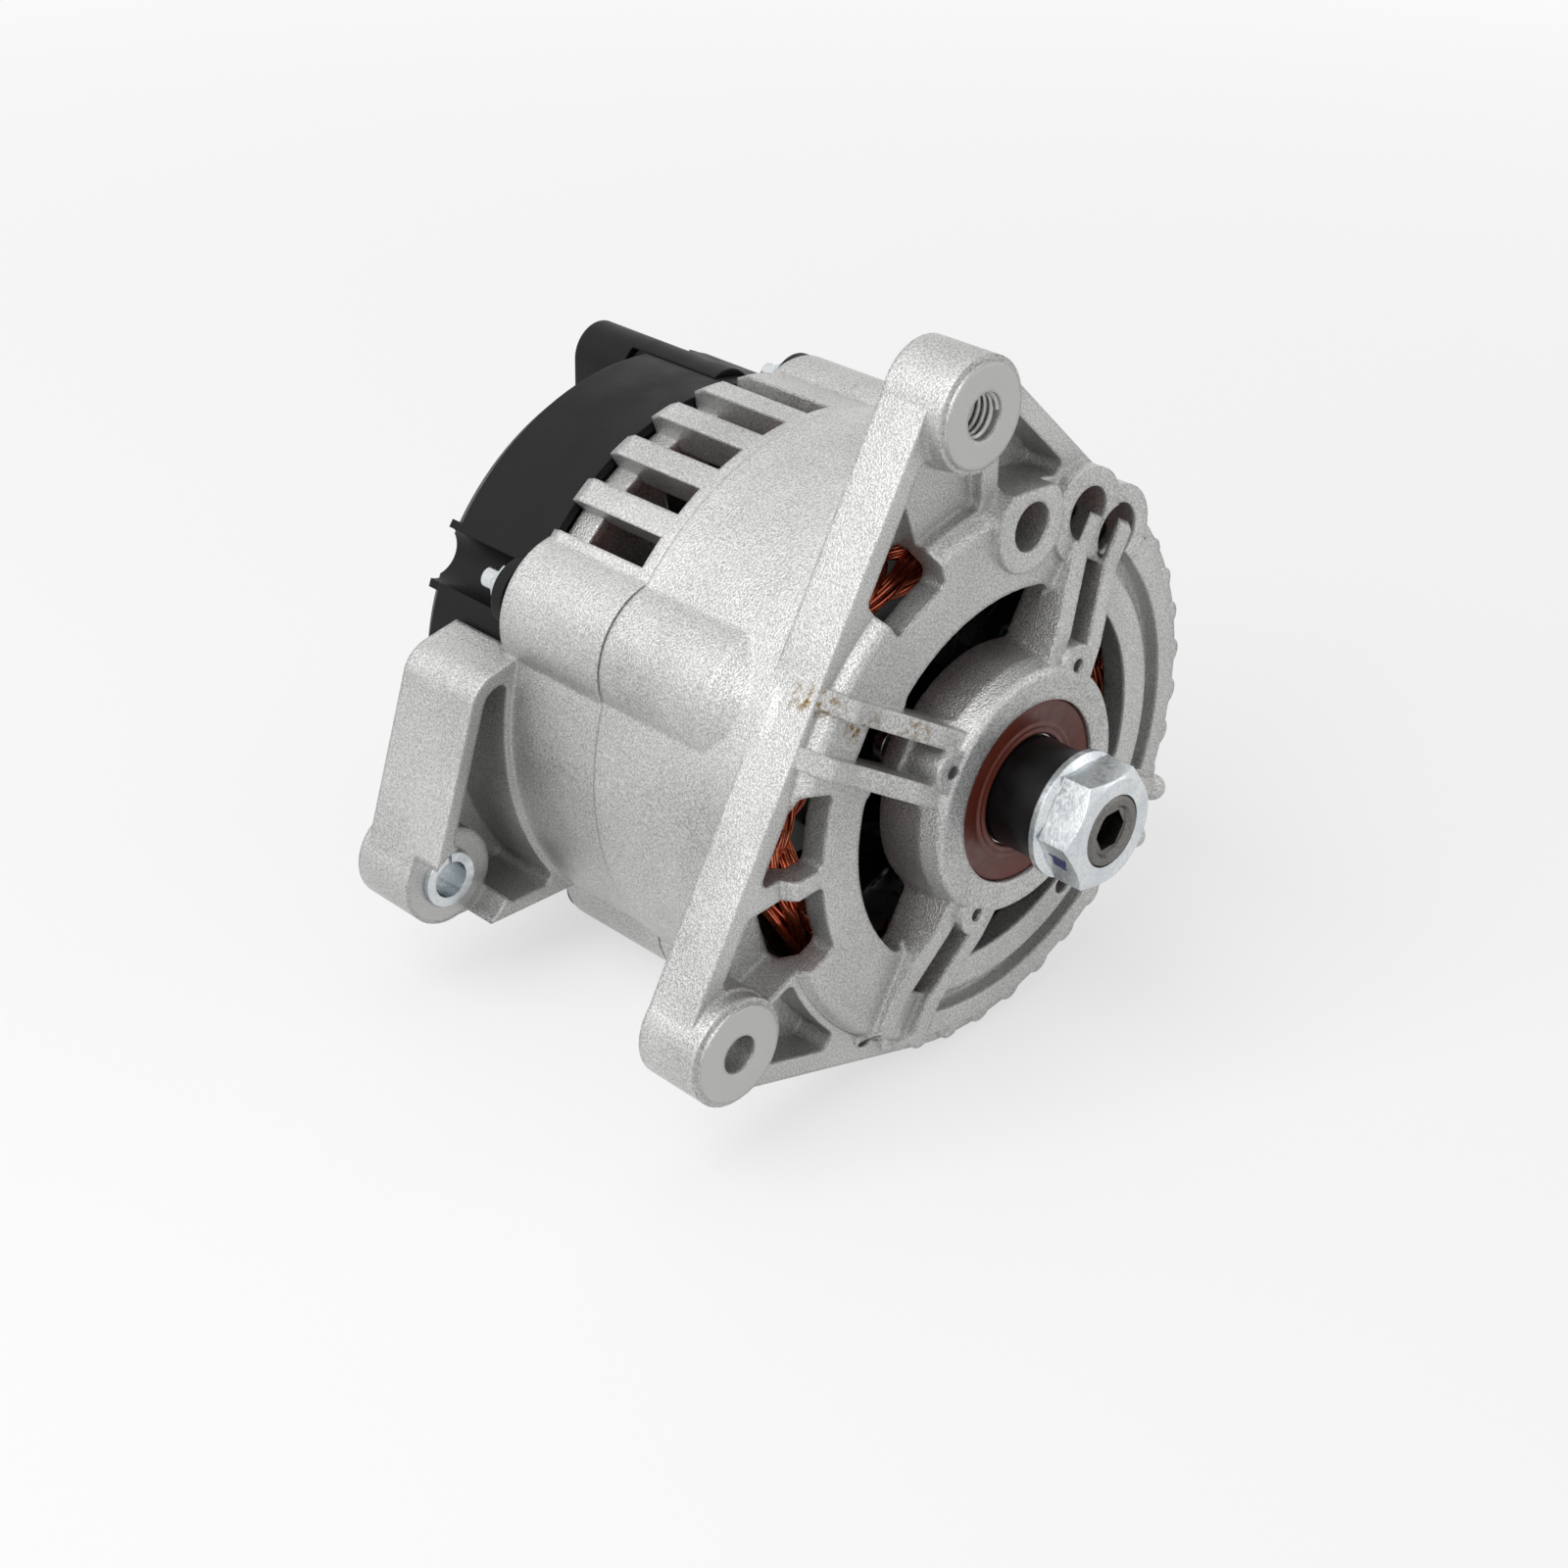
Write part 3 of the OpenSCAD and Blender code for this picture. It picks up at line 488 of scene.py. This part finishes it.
FINISHES: dict[Surface, Finish] = {
    # Blasted aluminium casting: satin, light, with a sparkle of fine grit. The grit is drawn at
    # 0.4 mm, about twice the real one, so that it shows.
    Surface.CAST_HOUSING: CastAluminium(
        "cast_aluminium_blasted", "DADAD9", "807F7D", metallic=0.8, roughness=0.4, spread=0.05,
        grain_mm=0.42, relief_mm=0.17, cloud_mm=30.0, edge_mm=1.3, contrast=0.6,
        milled=(
            Spot(*ADJUST_EAR, 10.9, EAR_FACE_Y - 1, EAR_FACE_Y + 0.3),
            Spot(*PIVOT_EAR, 10.9, EAR_FACE_Y - 1, EAR_FACE_Y + 0.3),
            Spot(*PIVOT_EAR, 10.4, REAR_EAR_Y - 0.3, REAR_EAR_Y + 0.3),
        ),
        stains=(
            Spot(-45.0, 28.5, 4.5, 22.0, 36.0, 2.5),
            Spot(-33.5, 23.5, 5.0, 22.0, 36.0, 2.5),
            Spot(-53.0, 35.0, 4.0, 22.0, 40.0, 2.5),
        )),
    # Stacked electrical sheet under brown impregnating varnish: dark and slightly glossy.
    Surface.LAMINATION: StackedSheet("varnished_sheet_stack", "4A2A20", "2C1813", roughness=0.4,
                                     relief_mm=0.25, coat=0.4),
    # Copper wire under clear red-brown enamel: a bright line along each turn.
    Surface.WINDING_WIRE: Finish("enamelled_copper_wire", "F0794C", "B4472A", metallic=0.8,
                                 roughness=0.24, grain_mm=3.0, relief_mm=0.01, cloud_mm=9.0,
                                 edge_mm=0.1, coat=0.8, contrast=0.6),
    # Glass-filled nylon, moulded: near black and satin, with a very fine grain.
    Surface.COVER_PLASTIC: Finish("moulded_black_nylon", "0F0E0E", "0A0A0A", roughness=0.5,
                                  grain_mm=0.5, relief_mm=0.04, cloud_mm=30.0, edge_mm=0.8,
                                  specular=0.2),
    # Zinc-plated steel: bright, a little blue, with small handling marks.
    Surface.ZINC_STEEL: ZincPlate("bright_zinc_plate", "E0E3E4", "AEB4B8", metallic=1.0,
                                  roughness=0.22, grain_mm=0.7, relief_mm=0.02, cloud_mm=4.0,
                                  edge_mm=0.4, contrast=0.35),
    # Hardened and ground ring steel: nearly a mirror.
    Surface.BEARING_STEEL: Finish("ground_bearing_steel", "B8B8B6", "9C9C9A", metallic=1.0,
                                  roughness=0.18, relief_mm=0.003, contrast=0.2),
    # Moulded nitrile rubber: red-brown and smooth, with a faint sheen.
    Surface.SEAL_RUBBER: Finish("moulded_nitrile_rubber", "6C2C1C", "552014", roughness=0.42,
                                grain_mm=0.6, relief_mm=0.008, cloud_mm=8.0, edge_mm=0.2,
                                contrast=0.4),
    # Milled aluminium: brighter than the casting, with a soft direction of light.
    Surface.MACHINED_ALUMINIUM: Finish("milled_aluminium", "B4B4B2", "9B9B99", metallic=1.0,
                                       roughness=0.35, contrast=0.3),
    # Tinned pressed steel: soft grey.
    Surface.DIODE_CASE: Finish("tinned_pressed_steel", "8C8C8B", "6E6E6D", metallic=1.0,
                               roughness=0.35),
    # Turned brass: warm yellow.
    Surface.STUD_BRASS: Finish("turned_brass", "B89A5C", "94783F", metallic=1.0, roughness=0.3),
    # Turned shaft steel: grey, with tool marks and a trace of oil.
    Surface.SHAFT_STEEL: TurnedMetal("turned_shaft_steel", "7E7C79", "4E4B48", metallic=1.0,
                                     roughness=0.32, relief_mm=0.03, contrast=0.5),
    # Forged iron poles under insulating varnish: almost black with a dull gloss.
    Surface.POLE_IRON: Finish("forged_iron_varnished", "1C1B1A", "121111", metallic=0.3,
                              roughness=0.38, grain_mm=1.2, relief_mm=0.05, coat=0.3),
    # Pressed steel with black dip coat: smooth and dark.
    Surface.FAN_STEEL: Finish("pressed_steel_black_coat", "1C1C1B", "121212", metallic=0.3,
                              roughness=0.24, grain_mm=1.0, relief_mm=0.02, coat=0.7),
    # Black oxide on turned steel: deep black and satin.
    Surface.BLACKENED_STEEL: TurnedMetal("black_oxide_steel", "131314", "0B0B0C", metallic=0.5,
                                         roughness=0.34, relief_mm=0.01, ring_mm=3.14),
    # Turned copper rings: pink-brown with tracks from the brushes.
    Surface.RING_COPPER: TurnedMetal("turned_copper", "B06A44", "8C4E2E", metallic=1.0,
                                     roughness=0.3, relief_mm=0.01),
    # Pressed and tumbled cage steel: dull, a little yellow from grease.
    Surface.CAGE_STEEL: Finish("pressed_cage_steel", "A39B86", "857D69", metallic=1.0,
                               roughness=0.35),
    # Pressed copper and carbon: dark and dry.
    Surface.BRUSH_CARBON: Finish("pressed_copper_carbon", "2A2625", "1B1817", metallic=0.3,
                                 roughness=0.6, grain_mm=0.4, relief_mm=0.02),
}


@dataclass
class Wardrobe:
    """Builds each finish once and gives it to nodes and pieces.

    Attributes:
        materials: The materials built so far, by surface.
    """

    materials: dict[Surface, bpy.types.Material] = field(default_factory=dict)

    def get(self, surface: Surface) -> bpy.types.Material:
        """Finds the material of a surface, and builds it on first use.

        Args:
            surface: The surface.

        Returns:
            Its material.
        """
        if surface not in self.materials:
            self.materials[surface] = FINISHES[surface].build()
        return self.materials[surface]

    def dress(self, obj: bpy.types.Object, surface: Surface) -> None:
        """Puts one material on a whole object.

        Args:
            obj: A mesh object.
            surface: The surface it gets.
        """
        obj.data.materials.clear()
        obj.data.materials.append(self.get(surface))

    def dress_nodes(self, frame: dict[str, Any]) -> None:
        """Dresses every carried-over CAD node from the record's slots.
        """
        for part in frame["record"]["subparts"]:
            self.dress(frame["nodes"][part["node"]], Surface(part["material_slot"]))

    def fit(self, piece: bpy.types.Object, surface: Surface, *nodes: str,
            body: str = "housing") -> bpy.types.Object:
        """Dresses a new piece, hangs it on the body it moves with, and hides the nodes it stands
        for.

        Args:
            piece: The new piece.
            surface: The surface it gets.
            nodes: CAD nodes that it replaces.
            body: The body it rides on.

        Returns:
            The same piece.
        """
        self.dress(piece, surface)
        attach(piece, body)
        if nodes:
            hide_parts(*nodes)
        LOG.info("built %s: %d faces", piece.name, len(piece.data.polygons))
        return piece


# Meshes


def mesh_object(name: str, verts: Sequence[Vector], faces: Sequence[Sequence[int]],
                smooth: bool = True) -> bpy.types.Object:
    """Makes a mesh object in the scene.

    Args:
        name: Name of the object and its mesh.
        verts: Vertices in metres.
        faces: Faces as lists of vertex numbers.
        smooth: Whether faces are shaded smooth.

    Returns:
        The new object.
    """
    mesh = bpy.data.meshes.new(name)
    mesh.from_pydata([tuple(v) for v in verts], [], [list(f) for f in faces])
    mesh.validate()
    mesh.polygons.foreach_set("use_smooth", [smooth] * len(mesh.polygons))
    obj = bpy.data.objects.new(name, mesh)
    bpy.context.scene.collection.objects.link(obj)
    return obj


def about_shaft(radius: float, angle: float, y: float) -> Vector:
    """Point at a radius and an angle about the shaft, in metres from millimetres."""
    return Vector((radius * math.cos(angle), y, radius * math.sin(angle))) * MM


def tubes(name: str, paths: Sequence[Sequence[Vector]], radius: float,
          sides: int = 6) -> bpy.types.Object:
    """Makes round wires along paths, closed at both ends.

    Args:
        name: Name of the object.
        paths: Points of each wire, in metres.
        radius: Radius of the wire, in metres.
        sides: Number of sides of the wire.

    Returns:
        One object that holds all the wires.
    """
    verts: list[Vector] = []
    faces: list[list[int]] = []
    for path in paths:
        base = len(verts)
        side = Vector((0.37, 0.11, 0.92))  # a first direction that no path runs along
        for i, point in enumerate(path):
            ahead = (path[min(i + 1, len(path) - 1)] - path[max(i - 1, 0)]).normalized()
            side = (side - ahead * side.dot(ahead)).normalized()
            across = ahead.cross(side)
            for k in range(sides):
                turn = 2 * math.pi * k / sides
                verts.append(point + (side * math.cos(turn) + across * math.sin(turn)) * radius)
        for i in range(len(path) - 1):
            for k in range(sides):
                a, b = base + i * sides + k, base + i * sides + (k + 1) % sides
                faces.append([a, b, b + sides, a + sides])
        faces.append([base + k for k in range(sides)][::-1])
        faces.append([base + (len(path) - 1) * sides + k for k in range(sides)])
    return mesh_object(name, verts, faces)


# Sub-assemblies


@dataclass
class WoundCoils:
    """The stator's end turns on one side, as separate wires.

    Attributes:
        node: The CAD node they stand for.
        piece: Name of the piece.
        root_y: Where the wires leave the core, in millimetres.
        tip_y: Where they turn back.
        inner: Smallest radius of the bundle.
        outer: Largest radius.
        coils: Number of coils round the core.
        strands: Wires shown in each coil.
        wire: Diameter of a wire.
        span: Angle that a coil spans, in degrees.
        layer_turn: Angle between the starts of two layers of a coil.
        pack: Distance of neighbouring wires, in wire diameters.
        wall: Distance of the innermost wires from the bundle's inner radius.
        phase_out: Distance between two phases, outwards.
        phase_drop: How much lower each phase's wires turn back.
        sway: How far a wire strays outwards and inwards.
        arch: Power that flattens the arch of a wire; lower is flatter.
        steps: Number of steps along a wire.
    """

    node: str
    piece: str
    root_y: float
    tip_y: float
    inner: float = 46.6
    outer: float = 54.0
    coils: int = 36
    strands: int = 9
    wire: float = 1.15
    span: float = 30.0
    layer_turn: float = 1.3
    pack: float = 0.95
    wall: float = 1.2
    phase_out: float = 2.3
    phase_drop: float = 1.1
    sway: float = 0.455
    arch: float = 0.42
    steps: int = 14

    def path(self, coil: int, strand: int) -> list[Vector]:
        """Returns the path of one wire from slot to slot.

        Args:
            coil: Number of the coil.
            strand: Number of the wire in its coil.

        Returns:
            Points in metres.
        """
        sign = 1 if self.tip_y > self.root_y else -1
        layer, row = strand % 3, strand // 3
        phase = coil % 3
        start = math.radians(coil * 360 / self.coils + (layer - 1) * self.layer_turn)
        sweep = math.radians(self.span - 2 * (layer - 1) * self.layer_turn)
        radius = self.inner + self.wall + phase * self.phase_out + row * self.wire * self.pack
        height = (abs(self.tip_y - self.root_y) - self.wire * (1 + self.pack * layer)
                  - phase * self.phase_drop)
        points = []
        for i in range(self.steps + 1):
            t = i / self.steps
            stray = self.sway * math.sin(2 * math.pi * t + coil * 1.7 + strand)
            y = self.root_y + sign * height * math.sin(math.pi * t) ** self.arch
            points.append(about_shaft(min(radius + stray, self.outer), start + sweep * t, y))
        return points

    def build(self, wardrobe: Wardrobe) -> bpy.types.Object:
        """Builds and dresses the coils.

        Args:
            wardrobe: Gives the piece its material.

        Returns:
            The new piece.
        """
        paths = [self.path(c, s) for c in range(self.coils) for s in range(self.strands)]
        piece = tubes(self.piece, paths, self.wire * MM / 2)
        return wardrobe.fit(piece, Surface.WINDING_WIRE, self.node)


@dataclass
class LipSeal:
    """The front bearing's moulded seal with its ridges and lip.

    Attributes:
        face_y: Front face, in millimetres.
        back_y: Back face.
        outer: Outer radius.
        lip: Radius of the lip's mouth.
        ridges: Section of the front face from the lip outwards, as distance out and depth.
        steps: Number of steps round the shaft.
    """

    face_y: float = 23.3
    back_y: float = 24.45
    outer: float = 20.5
    lip: float = 12.5
    ridges: tuple[tuple[float, float], ...] = (
        (0.0, 0.5), (0.25, 0.1), (0.8, 0.0), (1.2, 0.35), (1.5, 0.35), (1.9, 0.05), (2.3, 0.05),
        (2.6, 0.4), (3.0, 0.45), (3.3, 0.2), (7.0, 0.2), (7.3, 0.0), (7.7, 0.05), (8.0, 0.35))
    steps: int = 128

    def section(self) -> list[tuple[float, float]]:
        """Lays out the seal's section, from the lip outwards and back.

        Returns:
            Radius and place along the shaft of each corner, in millimetres.
        """
        front = [(self.lip + out, self.face_y + deep) for out, deep in self.ridges]
        return front + [(self.outer, self.back_y), (self.lip, self.back_y)]

    def build(self, wardrobe: Wardrobe) -> bpy.types.Object:
        """Builds and dresses the seal.

        Args:
            wardrobe: Gives the piece its material.

        Returns:
            The new piece.
        """
        section = self.section()
        count, steps = len(section), self.steps
        verts = [about_shaft(r, 2 * math.pi * i / steps, y)
                 for i in range(steps) for r, y in section]
        faces = [[i * count + j, i * count + (j + 1) % count,
                  (i + 1) % steps * count + (j + 1) % count, (i + 1) % steps * count + j]
                 for i in range(steps) for j in range(count)]
        piece = mesh_object("lip_seal", verts, faces)
        return wardrobe.fit(piece, Surface.SEAL_RUBBER, "front_bearing_seal")


@dataclass
class BrushSpring:
    """Coil spring behind a brush, at one fixed length; the real one shortens as the brush lifts from
    its ring.

    Attributes:
        node: The CAD node it stands for.
        piece: Name of the piece.
        body: The brush's body.
        joint: The brush's slide; not used.
        middle_y: Middle of the brush pocket along the shaft, in millimetres.
        near: Distance of the end on the brush from the shaft.
        far: Distance of the end on the holder.
        travel: Longest lift of the brush; not used.
        coil: Mean radius of a turn.
        wire: Radius of the wire.
        closed: Height of the closed turn at each end.
        turns: Number of turns.
        steps: Steps in one turn.
    """

    node: str
    piece: str
    body: str
    joint: str
    middle_y: float
    near: float = 24.5
    far: float = 35.6
    travel: float = 4.0
    coil: float = 1.8
    wire: float = 0.3
    closed: float = 0.65
    turns: int = 8
    steps: int = 24

    def path(self) -> list[Vector]:
        """Lays out the wire, with a closed turn at each end.

        Returns:
            Points in metres.
        """
        steps = self.steps
        total = self.turns * steps
        open_part = self.far - self.near - 2 * self.closed
        points = []
        for i in range(total + 1):
            turn = 2 * math.pi * i / steps
            share = min(max((i - steps) / (total - 2 * steps), 0.0), 1.0)
            ends = min(i / steps, 1.0) + min(max((i - total + steps) / steps, 0.0), 1.0)
            points.append(Vector((
                self.coil * math.cos(turn),
                self.middle_y + self.coil * math.sin(turn),
                -(self.near + ends * self.closed + share * open_part))) * MM)
        return points

    def build(self, wardrobe: Wardrobe) -> bpy.types.Object:
        """Builds and dresses the spring, on a mesh of its own.

        Args:
            wardrobe: Gives the piece its material.

        Returns:
            The new piece.
        """
        piece = tubes(self.piece, [self.path()], self.wire * MM, sides=8)
        wardrobe.fit(piece, Surface.ZINC_STEEL, self.node, body=self.body)
        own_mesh(piece)
        return piece


@dataclass
class RibEnds:
    """Rounded ends of the two ribs at the lower right, which stand proud of the rim.

    Attributes:
        angles: Place of each end round the shaft, in degrees.
        reach: Distance of their centre from the shaft, in millimetres.
        radius: Radius of an end.
        front_y: Foremost point.
        back_y: Where they run into the casting.
        straight: Distance from the foremost point to where they start to taper.
        root: Share of the radius that is left at the back.
        sides: Number of sides round an end.
    """

    angles: tuple[float, float] = (-23.7, -34.3)
    reach: float = 65.2
    radius: float = 3.1
    front_y: float = 29.6
    back_y: float = 44.0
    straight: float = 9.0
    root: float = 0.4
    sides: int = 24

    def rings(self) -> list[tuple[float, float]]:
        """Lays out the rings of an end, from the dome back.

        Returns:
            Radius and place along the shaft of each ring, in millimetres.
        """
        tilts = [math.radians(degrees) for degrees in range(10, 91, 16)]
        dome = [(self.radius * math.sin(tilt), self.front_y + self.radius * (1 - math.cos(tilt)))
                for tilt in tilts]
        return dome + [(self.radius, self.front_y + self.straight),
                       (self.radius * self.root, self.back_y)]

    def build(self, wardrobe: Wardrobe) -> bpy.types.Object:
        """Builds and dresses the rib ends.

        Args:
            wardrobe: Gives the piece its material.

        Returns:
            The new piece.
        """
        verts: list[Vector] = []
        faces: list[list[int]] = []
        rings = self.rings()
        sides = self.sides
        for angle in self.angles:
            base = len(verts)
            last = base + (len(rings) - 1) * sides
            centre = about_shaft(self.reach, math.radians(angle), 0.0)
            verts += [centre + about_shaft(r, 2 * math.pi * k / sides, y)
                      for r, y in rings for k in range(sides)]
            for i in range(len(rings) - 1):
                for k in range(sides):
                    a, b = base + i * sides + k, base + i * sides + (k + 1) % sides
                    faces.append([a, a + sides, b + sides, b])
            faces.append([base + k for k in range(sides)])
            faces.append([last + k for k in reversed(range(sides))])
        piece = mesh_object("rib_ends", verts, faces)
        return wardrobe.fit(piece, Surface.CAST_HOUSING)


@dataclass
class EarThread:
    """Turns of the thread in the adjusting ear, as one helical ridge.

    Attributes:
        wall: Radius of the hole.
        crest: Radius of the ridge's crest.
        pitch: Height of one turn.
        depth: Length of the thread.
        inset: Distance of the thread from the ear's face.
        foot: Half width of the ridge at the wall, in pitches.
        top: Half width of its crest, in pitches.
        lead: Height of the first turn above the start, in pitches.
        spare: Turns that are left out, so that both ends stay inside the ear.
        steps: Steps in one turn.
    """

    wall: float = 4.9
    crest: float = 4.25
    pitch: float = 1.5
    depth: float = 15.6
    inset: float = 0.4
    foot: float = 0.42
    top: float = 0.08
    lead: float = 0.45
    spare: float = 0.8
    steps: int = 32

    def build(self, wardrobe: Wardrobe) -> bpy.types.Object:
        """Builds and dresses the thread.

        Args:
            wardrobe: Gives the piece its material.

        Returns:
            The new piece.
        """
        last = int((self.depth / self.pitch - self.spare) * self.steps)
        centre = Vector((ADJUST_EAR[0], EAR_FACE_Y + self.inset, ADJUST_EAR[1])) * MM
        section = ((self.wall, -self.foot), (self.crest, -self.top),
                   (self.crest, self.top), (self.wall, self.foot))
        verts = [centre + about_shaft(r, 2 * math.pi * i / self.steps,
                                      (self.lead + i / self.steps + rise) * self.pitch)
                 for i in range(last + 1) for r, rise in section]
        faces = [[i * 4 + k, i * 4 + (k + 1) % 4, i * 4 + 4 + (k + 1) % 4, i * 4 + 4 + k]
                 for i in range(last) for k in range(4)]
        faces += [[3, 2, 1, 0], [last * 4 + k for k in range(4)]]
        piece = mesh_object("adjusting_thread", verts, faces, smooth=False)
        return wardrobe.fit(piece, Surface.MACHINED_ALUMINIUM)


# Studio


@dataclass
class Studio:
    """Floor, light and camera.

    Attributes:
        lens: Focal length, in millimetres.
        sensor: Width of the sensor, in millimetres.
        azimuth: Camera's azimuth in degrees; 0 looks along +Y.
        elevation: Camera's elevation.
        roll: Camera's roll.
        aim: Place of the shaft's end in camera axes, right, down and ahead, in millimetres.
        middle: Middle of the object in metres, which the lamps face.
        paper: Colour of the floor.
        paper_shade: Colour of its darker clouds.
        half_floor: Half the floor's width, in metres.
        fade: Distances between which the floor turns white to the eye, in metres.
        fade_share: Share of plain white at those distances.
        daylight: Strength of the white surroundings as a light.
    """

    lens: float = 58.5
    sensor: float = 36.0
    azimuth: float = -46.35
    elevation: float = 29.57
    roll: float = 1.78
    aim: Point = (67.17, 9.8, 518.7)
    middle: Point = (-0.01, 0.08, 0.0)
    paper: str = "F8F8F8"
    paper_shade: str = "F4F4F4"
    half_floor: float = 6.0
    fade: tuple[float, float] = (0.25, 1.4)
    fade_share: tuple[float, float] = (0.6, 1.0)
    daylight: float = 0.35

    def camera(self) -> None:
        """Makes the scene's camera at the photograph's viewing angle."""
        a, e, r = (math.radians(v) for v in (self.azimuth, self.elevation, self.roll))
        back = Vector((math.sin(a) * math.cos(e), -math.cos(a) * math.cos(e), math.sin(e)))
        level = Vector((math.cos(a), math.sin(a), 0))
        upright = back.cross(level)
        right = level * math.cos(r) + upright * math.sin(r)
        up = upright * math.cos(r) - level * math.sin(r)
        place = (back * self.aim[2] + up * self.aim[1] - right * self.aim[0]) * MM
        data = bpy.data.cameras.new("camera")
        data.lens = self.lens
        data.sensor_width = self.sensor
        data.clip_start = 10 * MM
        camera = bpy.data.objects.new("camera", data)
        turn = Matrix((right, up, back)).transposed().to_4x4()
        camera.matrix_world = Matrix.Translation(place) @ turn
        bpy.context.scene.collection.objects.link(camera)
        bpy.context.scene.camera = camera

    def seen(self, tree: Tree) -> Socket:
        """Tells what the eye, mirrors and glass see from what lights the object.

        Args:
            tree: The material's or world's node tree.

        Returns:
            A factor of 1 for camera, glossy and transmission rays and 0 for the others.
        """
        seen = add(tree, "LightPath", out="Is Camera Ray")
        for ray in ("Is Glossy Ray", "Is Transmission Ray"):
            seen = add(tree, "Math", {"operation": "MAXIMUM"}, i0=seen,
                       i1=add(tree, "LightPath", out=ray))
        return seen

    def floor(self, height: float) -> None:
        """Makes a plain pale floor that keeps the object's shadow and turns white further away.

        Args:
            height: Height of the floor, in metres.
        """
        half = self.half_floor
        corners = [Vector((x, y, height))
                   for x, y in ((-half, -half), (half, -half), (half, half), (-half, half))]
        floor = mesh_object("floor", corners, [[0, 1, 2, 3]], smooth=False)
        material = bpy.data.materials.new("matt_studio_paper")
        material.use_nodes = True
        tree = material.node_tree
        shader = tree.nodes["Principled BSDF"].inputs
        coords = add(tree, "TexCoord", out="Object")
        cloud = add(tree, "TexNoise", Vector=coords, Scale=per_mm(400.0))
        tone = add(tree, "Mix", {"data_type": "RGBA"}, 2, i0=cloud, i6=linear(self.paper),
                   i7=linear(self.paper_shade))
        tree.links.new(tone, shader["Base Color"])
        shader["Roughness"].default_value = 0.8
        white = add(tree, "Emission", Color=(1, 1, 1, 1), Strength=1.0)
        away = add(tree, "VectorMath", {"operation": "LENGTH"}, "Value", i0=coords)
        part = add(tree, "MapRange", Value=away, From_Min=self.fade[0], From_Max=self.fade[1],
                   To_Min=self.fade_share[0], To_Max=self.fade_share[1])
        share = add(tree, "Math", {"operation": "MULTIPLY"}, i0=self.seen(tree), i1=part)
        both = add(tree, "MixShader", i0=share, i1=tree.nodes["Principled BSDF"].outputs[0],
                   i2=white)
        tree.links.new(both, tree.nodes["Material Output"].inputs["Surface"])
        floor.data.materials.append(material)
        floor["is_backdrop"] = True

    def lamp(self, name: str, place: Point, size: float, power: float) -> None:
        """Makes a soft area light that faces the object.

        Args:
            name: Name of the light.
            place: Place in metres.
            size: Side of the square light, in metres.
            power: Power in watts.
        """
        data = bpy.data.lights.new(name, "AREA")
        data.size = size
        data.energy = power
        lamp = bpy.data.objects.new(name, data)
        lamp.location = place
        aim = Vector(self.middle) - Vector(place)
        lamp.rotation_euler = aim.to_track_quat("-Z", "Y").to_euler()
        bpy.context.scene.collection.objects.link(lamp)

    def world(self) -> None:
        """Gives eye and mirror a white background, and the light a softer grey."""
        world = bpy.data.worlds.new("studio_world")
        world.use_nodes = True
        tree = world.node_tree
        tree.nodes.clear()
        dim = add(tree, "Background", Color=(1, 1, 1, 1), Strength=self.daylight)
        white = add(tree, "Background", Color=(1, 1, 1, 1), Strength=1.0)
        both = add(tree, "MixShader", i0=self.seen(tree), i1=dim, i2=white)
        output = tree.nodes.new("ShaderNodeOutputWorld")
        tree.links.new(both, output.inputs["Surface"])
        bpy.context.scene.world = world

    def build(self, height: float) -> None:
        """Builds the whole studio.

        Args:
            height: Height of the floor, in metres.
        """
        self.camera()
        self.floor(height)
        self.world()
        self.lamp("key_light", (-0.85, 0.12, 0.85), size=1.0, power=10.0)
        self.lamp("fill_light", (0.9, -0.9, 0.6), size=0.9, power=1.3)
        self.lamp("top_light", (0.1, 0.2, 1.2), size=0.9, power=2.0)
        bpy.context.scene.view_settings.view_transform = "Standard"


def main() -> None:
    """Loads the frame, builds and dresses the pieces, and sets the studio."""
    logging.basicConfig(level=logging.INFO, format="%(message)s")
    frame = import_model()
    cad_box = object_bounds()
    wardrobe = Wardrobe()
    wardrobe.dress_nodes(frame)
    WoundCoils("front_windings", "front_coils", root_y=CORE_Y[0], tip_y=41.2).build(wardrobe)
    WoundCoils("rear_windings", "rear_coils", root_y=CORE_Y[1], tip_y=100.8).build(wardrobe)
    LipSeal().build(wardrobe)
    EarThread().build(wardrobe)
    RibEnds().build(wardrobe)
    BrushSpring("brush_spring_front", "front_spring", "brush_a", "brush_a_slide",
                middle_y=128.0).build(wardrobe)
    BrushSpring("brush_spring_rear", "rear_spring", "brush_b", "brush_b_slide",
                middle_y=138.0).build(wardrobe)
    Studio().build(cad_box[0][2])


if __name__ == "__main__":
    main()
